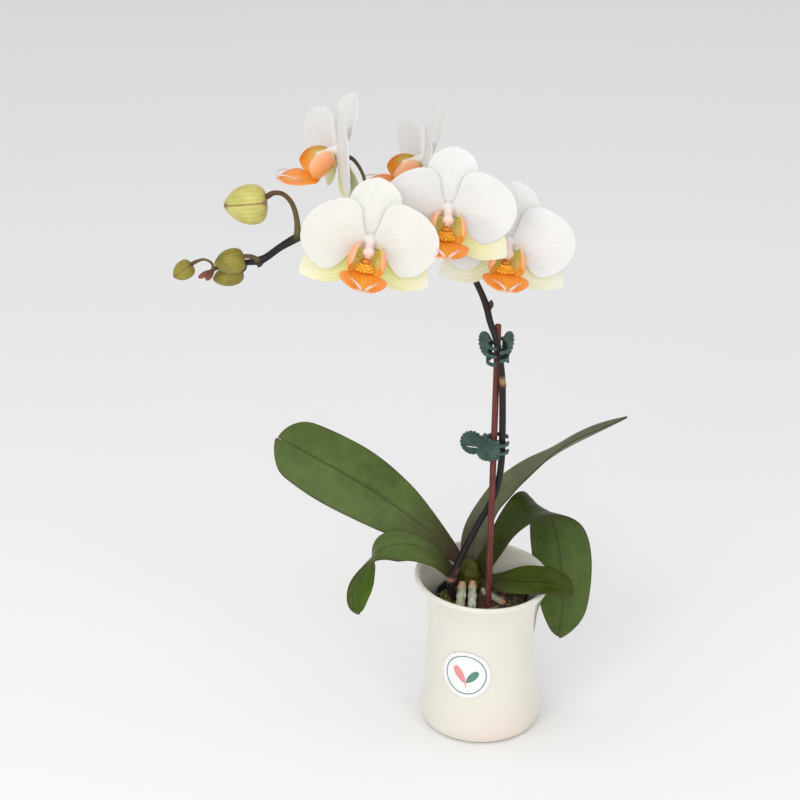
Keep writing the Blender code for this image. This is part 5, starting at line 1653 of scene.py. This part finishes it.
def make_all():
    """Build every piece and hand it to its body."""
    make_studio()
    make_pot(glaze_finish(), bisque_finish())
    make_label(vinyl_finish("sticker_white", (0.90, 0.90, 0.90), 0.35),
               vinyl_finish("ink_green", (0.10, 0.26, 0.19), 0.4),
               vinyl_finish("ink_rose", (0.80, 0.30, 0.30), 0.4))
    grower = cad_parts["nursery_pot"]
    finish_with(grower, moulded_finish("grower_plastic", (0.012, 0.020, 0.019), (0.022, 0.034, 0.032),
                                       0.45))
    make_mix(bark_finish("bed_bark", (0.012, 0.008, 0.005), (0.070, 0.045, 0.025)),
             bark_finish("chip_bark", (0.030, 0.018, 0.010), (0.20, 0.125, 0.065)),
             bark_finish("pale_bark", (0.12, 0.075, 0.035), (0.42, 0.28, 0.15)), moss_finish())
    make_stake(stick_finish())
    top = leaf_finish("leaf_top", (0.078, 0.138, 0.010), (0.036, 0.074, 0.005), 0.55)
    # painted shade: a darker copy of the leaf finish for leaf D, which faces away from the light
    shaded = leaf_finish("leaf_shaded", (0.038, 0.066, 0.004), (0.018, 0.034, 0.003), 0.30)
    # painted partial shade: a darker olive copy of the leaf finish for leaf E, between the top finish and
    # the shaded one
    olive = leaf_finish("leaf_half_shaded", (0.066, 0.092, 0.008), (0.032, 0.048, 0.004), 0.6)
    # painted sheen: a greyer, lighter copy of the leaf finish for leaf C, standing in for the bright
    # reflection on its glancing upper face
    painted_sheen_leaf = leaf_finish("leaf_painted_sheen", (0.150, 0.165, 0.095), (0.085, 0.100, 0.045), 0.6)
    tops = {"leaf_c": painted_sheen_leaf, "leaf_d": shaded, "leaf_e": olive}
    under = leaf_finish("leaf_under", (0.105, 0.155, 0.040), (0.060, 0.095, 0.022), 0.95)
    for name, shape in LEAVES.items():
        make_leaf(name, shape, tops.get(name, top), under)
    make_crown(leaf_finish("crown_sheath", (0.100, 0.110, 0.016), (0.045, 0.052, 0.008), 0.3))
    velamen = root_finish()
    for name, keys in ROOTS.items():
        make_root(name, keys, 1 if name == "root_c" else 0, velamen)
    make_spike(stem_finish())
    for name, shape in BUDS.items():
        young = name in ("bud_b", "bud_c", "bud_d")
        fresh = (0.34, 0.285, 0.028) if young else (0.66, 0.61, 0.19)
        shade = (0.19, 0.165, 0.014) if young else (0.50, 0.47, 0.11)
        make_bud(name, shape, bud_finish(name + "_skin_colour", fresh, shade))
    greens = sorted({flower["green"] for flower in FLOWERS.values()})
    finishes = {
        "petal_warm": petal_finish("petal_warm", 0.045), "petal_cool": petal_finish("petal_cool", 0.0),
        "back": petal_back_finish(), "side": side_lobe_finish(), "mid": mid_lobe_finish(),
        "sepals": {green: sepal_finish(f"sepal_green_{round(green * 100)}", green) for green in greens},
        "callus": callus_finish("lip_callus", (0.93, 0.42, 0.02), (0.95, 0.58, 0.04), 0.8),
        "knob": callus_finish("lip_knob", (0.55, 0.16, 0.02), (0.86, 0.42, 0.04), 0.9),
        "inner": throat_finish("lip_inner", (0.96, 0.44, 0.07)),
        "throat": throat_finish("lip_throat", (0.82, 0.74, 0.24)),
        "cirrus": cirrus_finish(), "column": column_finish(),
    }
    for name, flower in FLOWERS.items():
        make_flower(name, flower, finishes)
    make_clips(moulded_finish("clip_green", (0.022, 0.060, 0.045), (0.034, 0.088, 0.064), 0.42),
               wire_finish())


make_all()
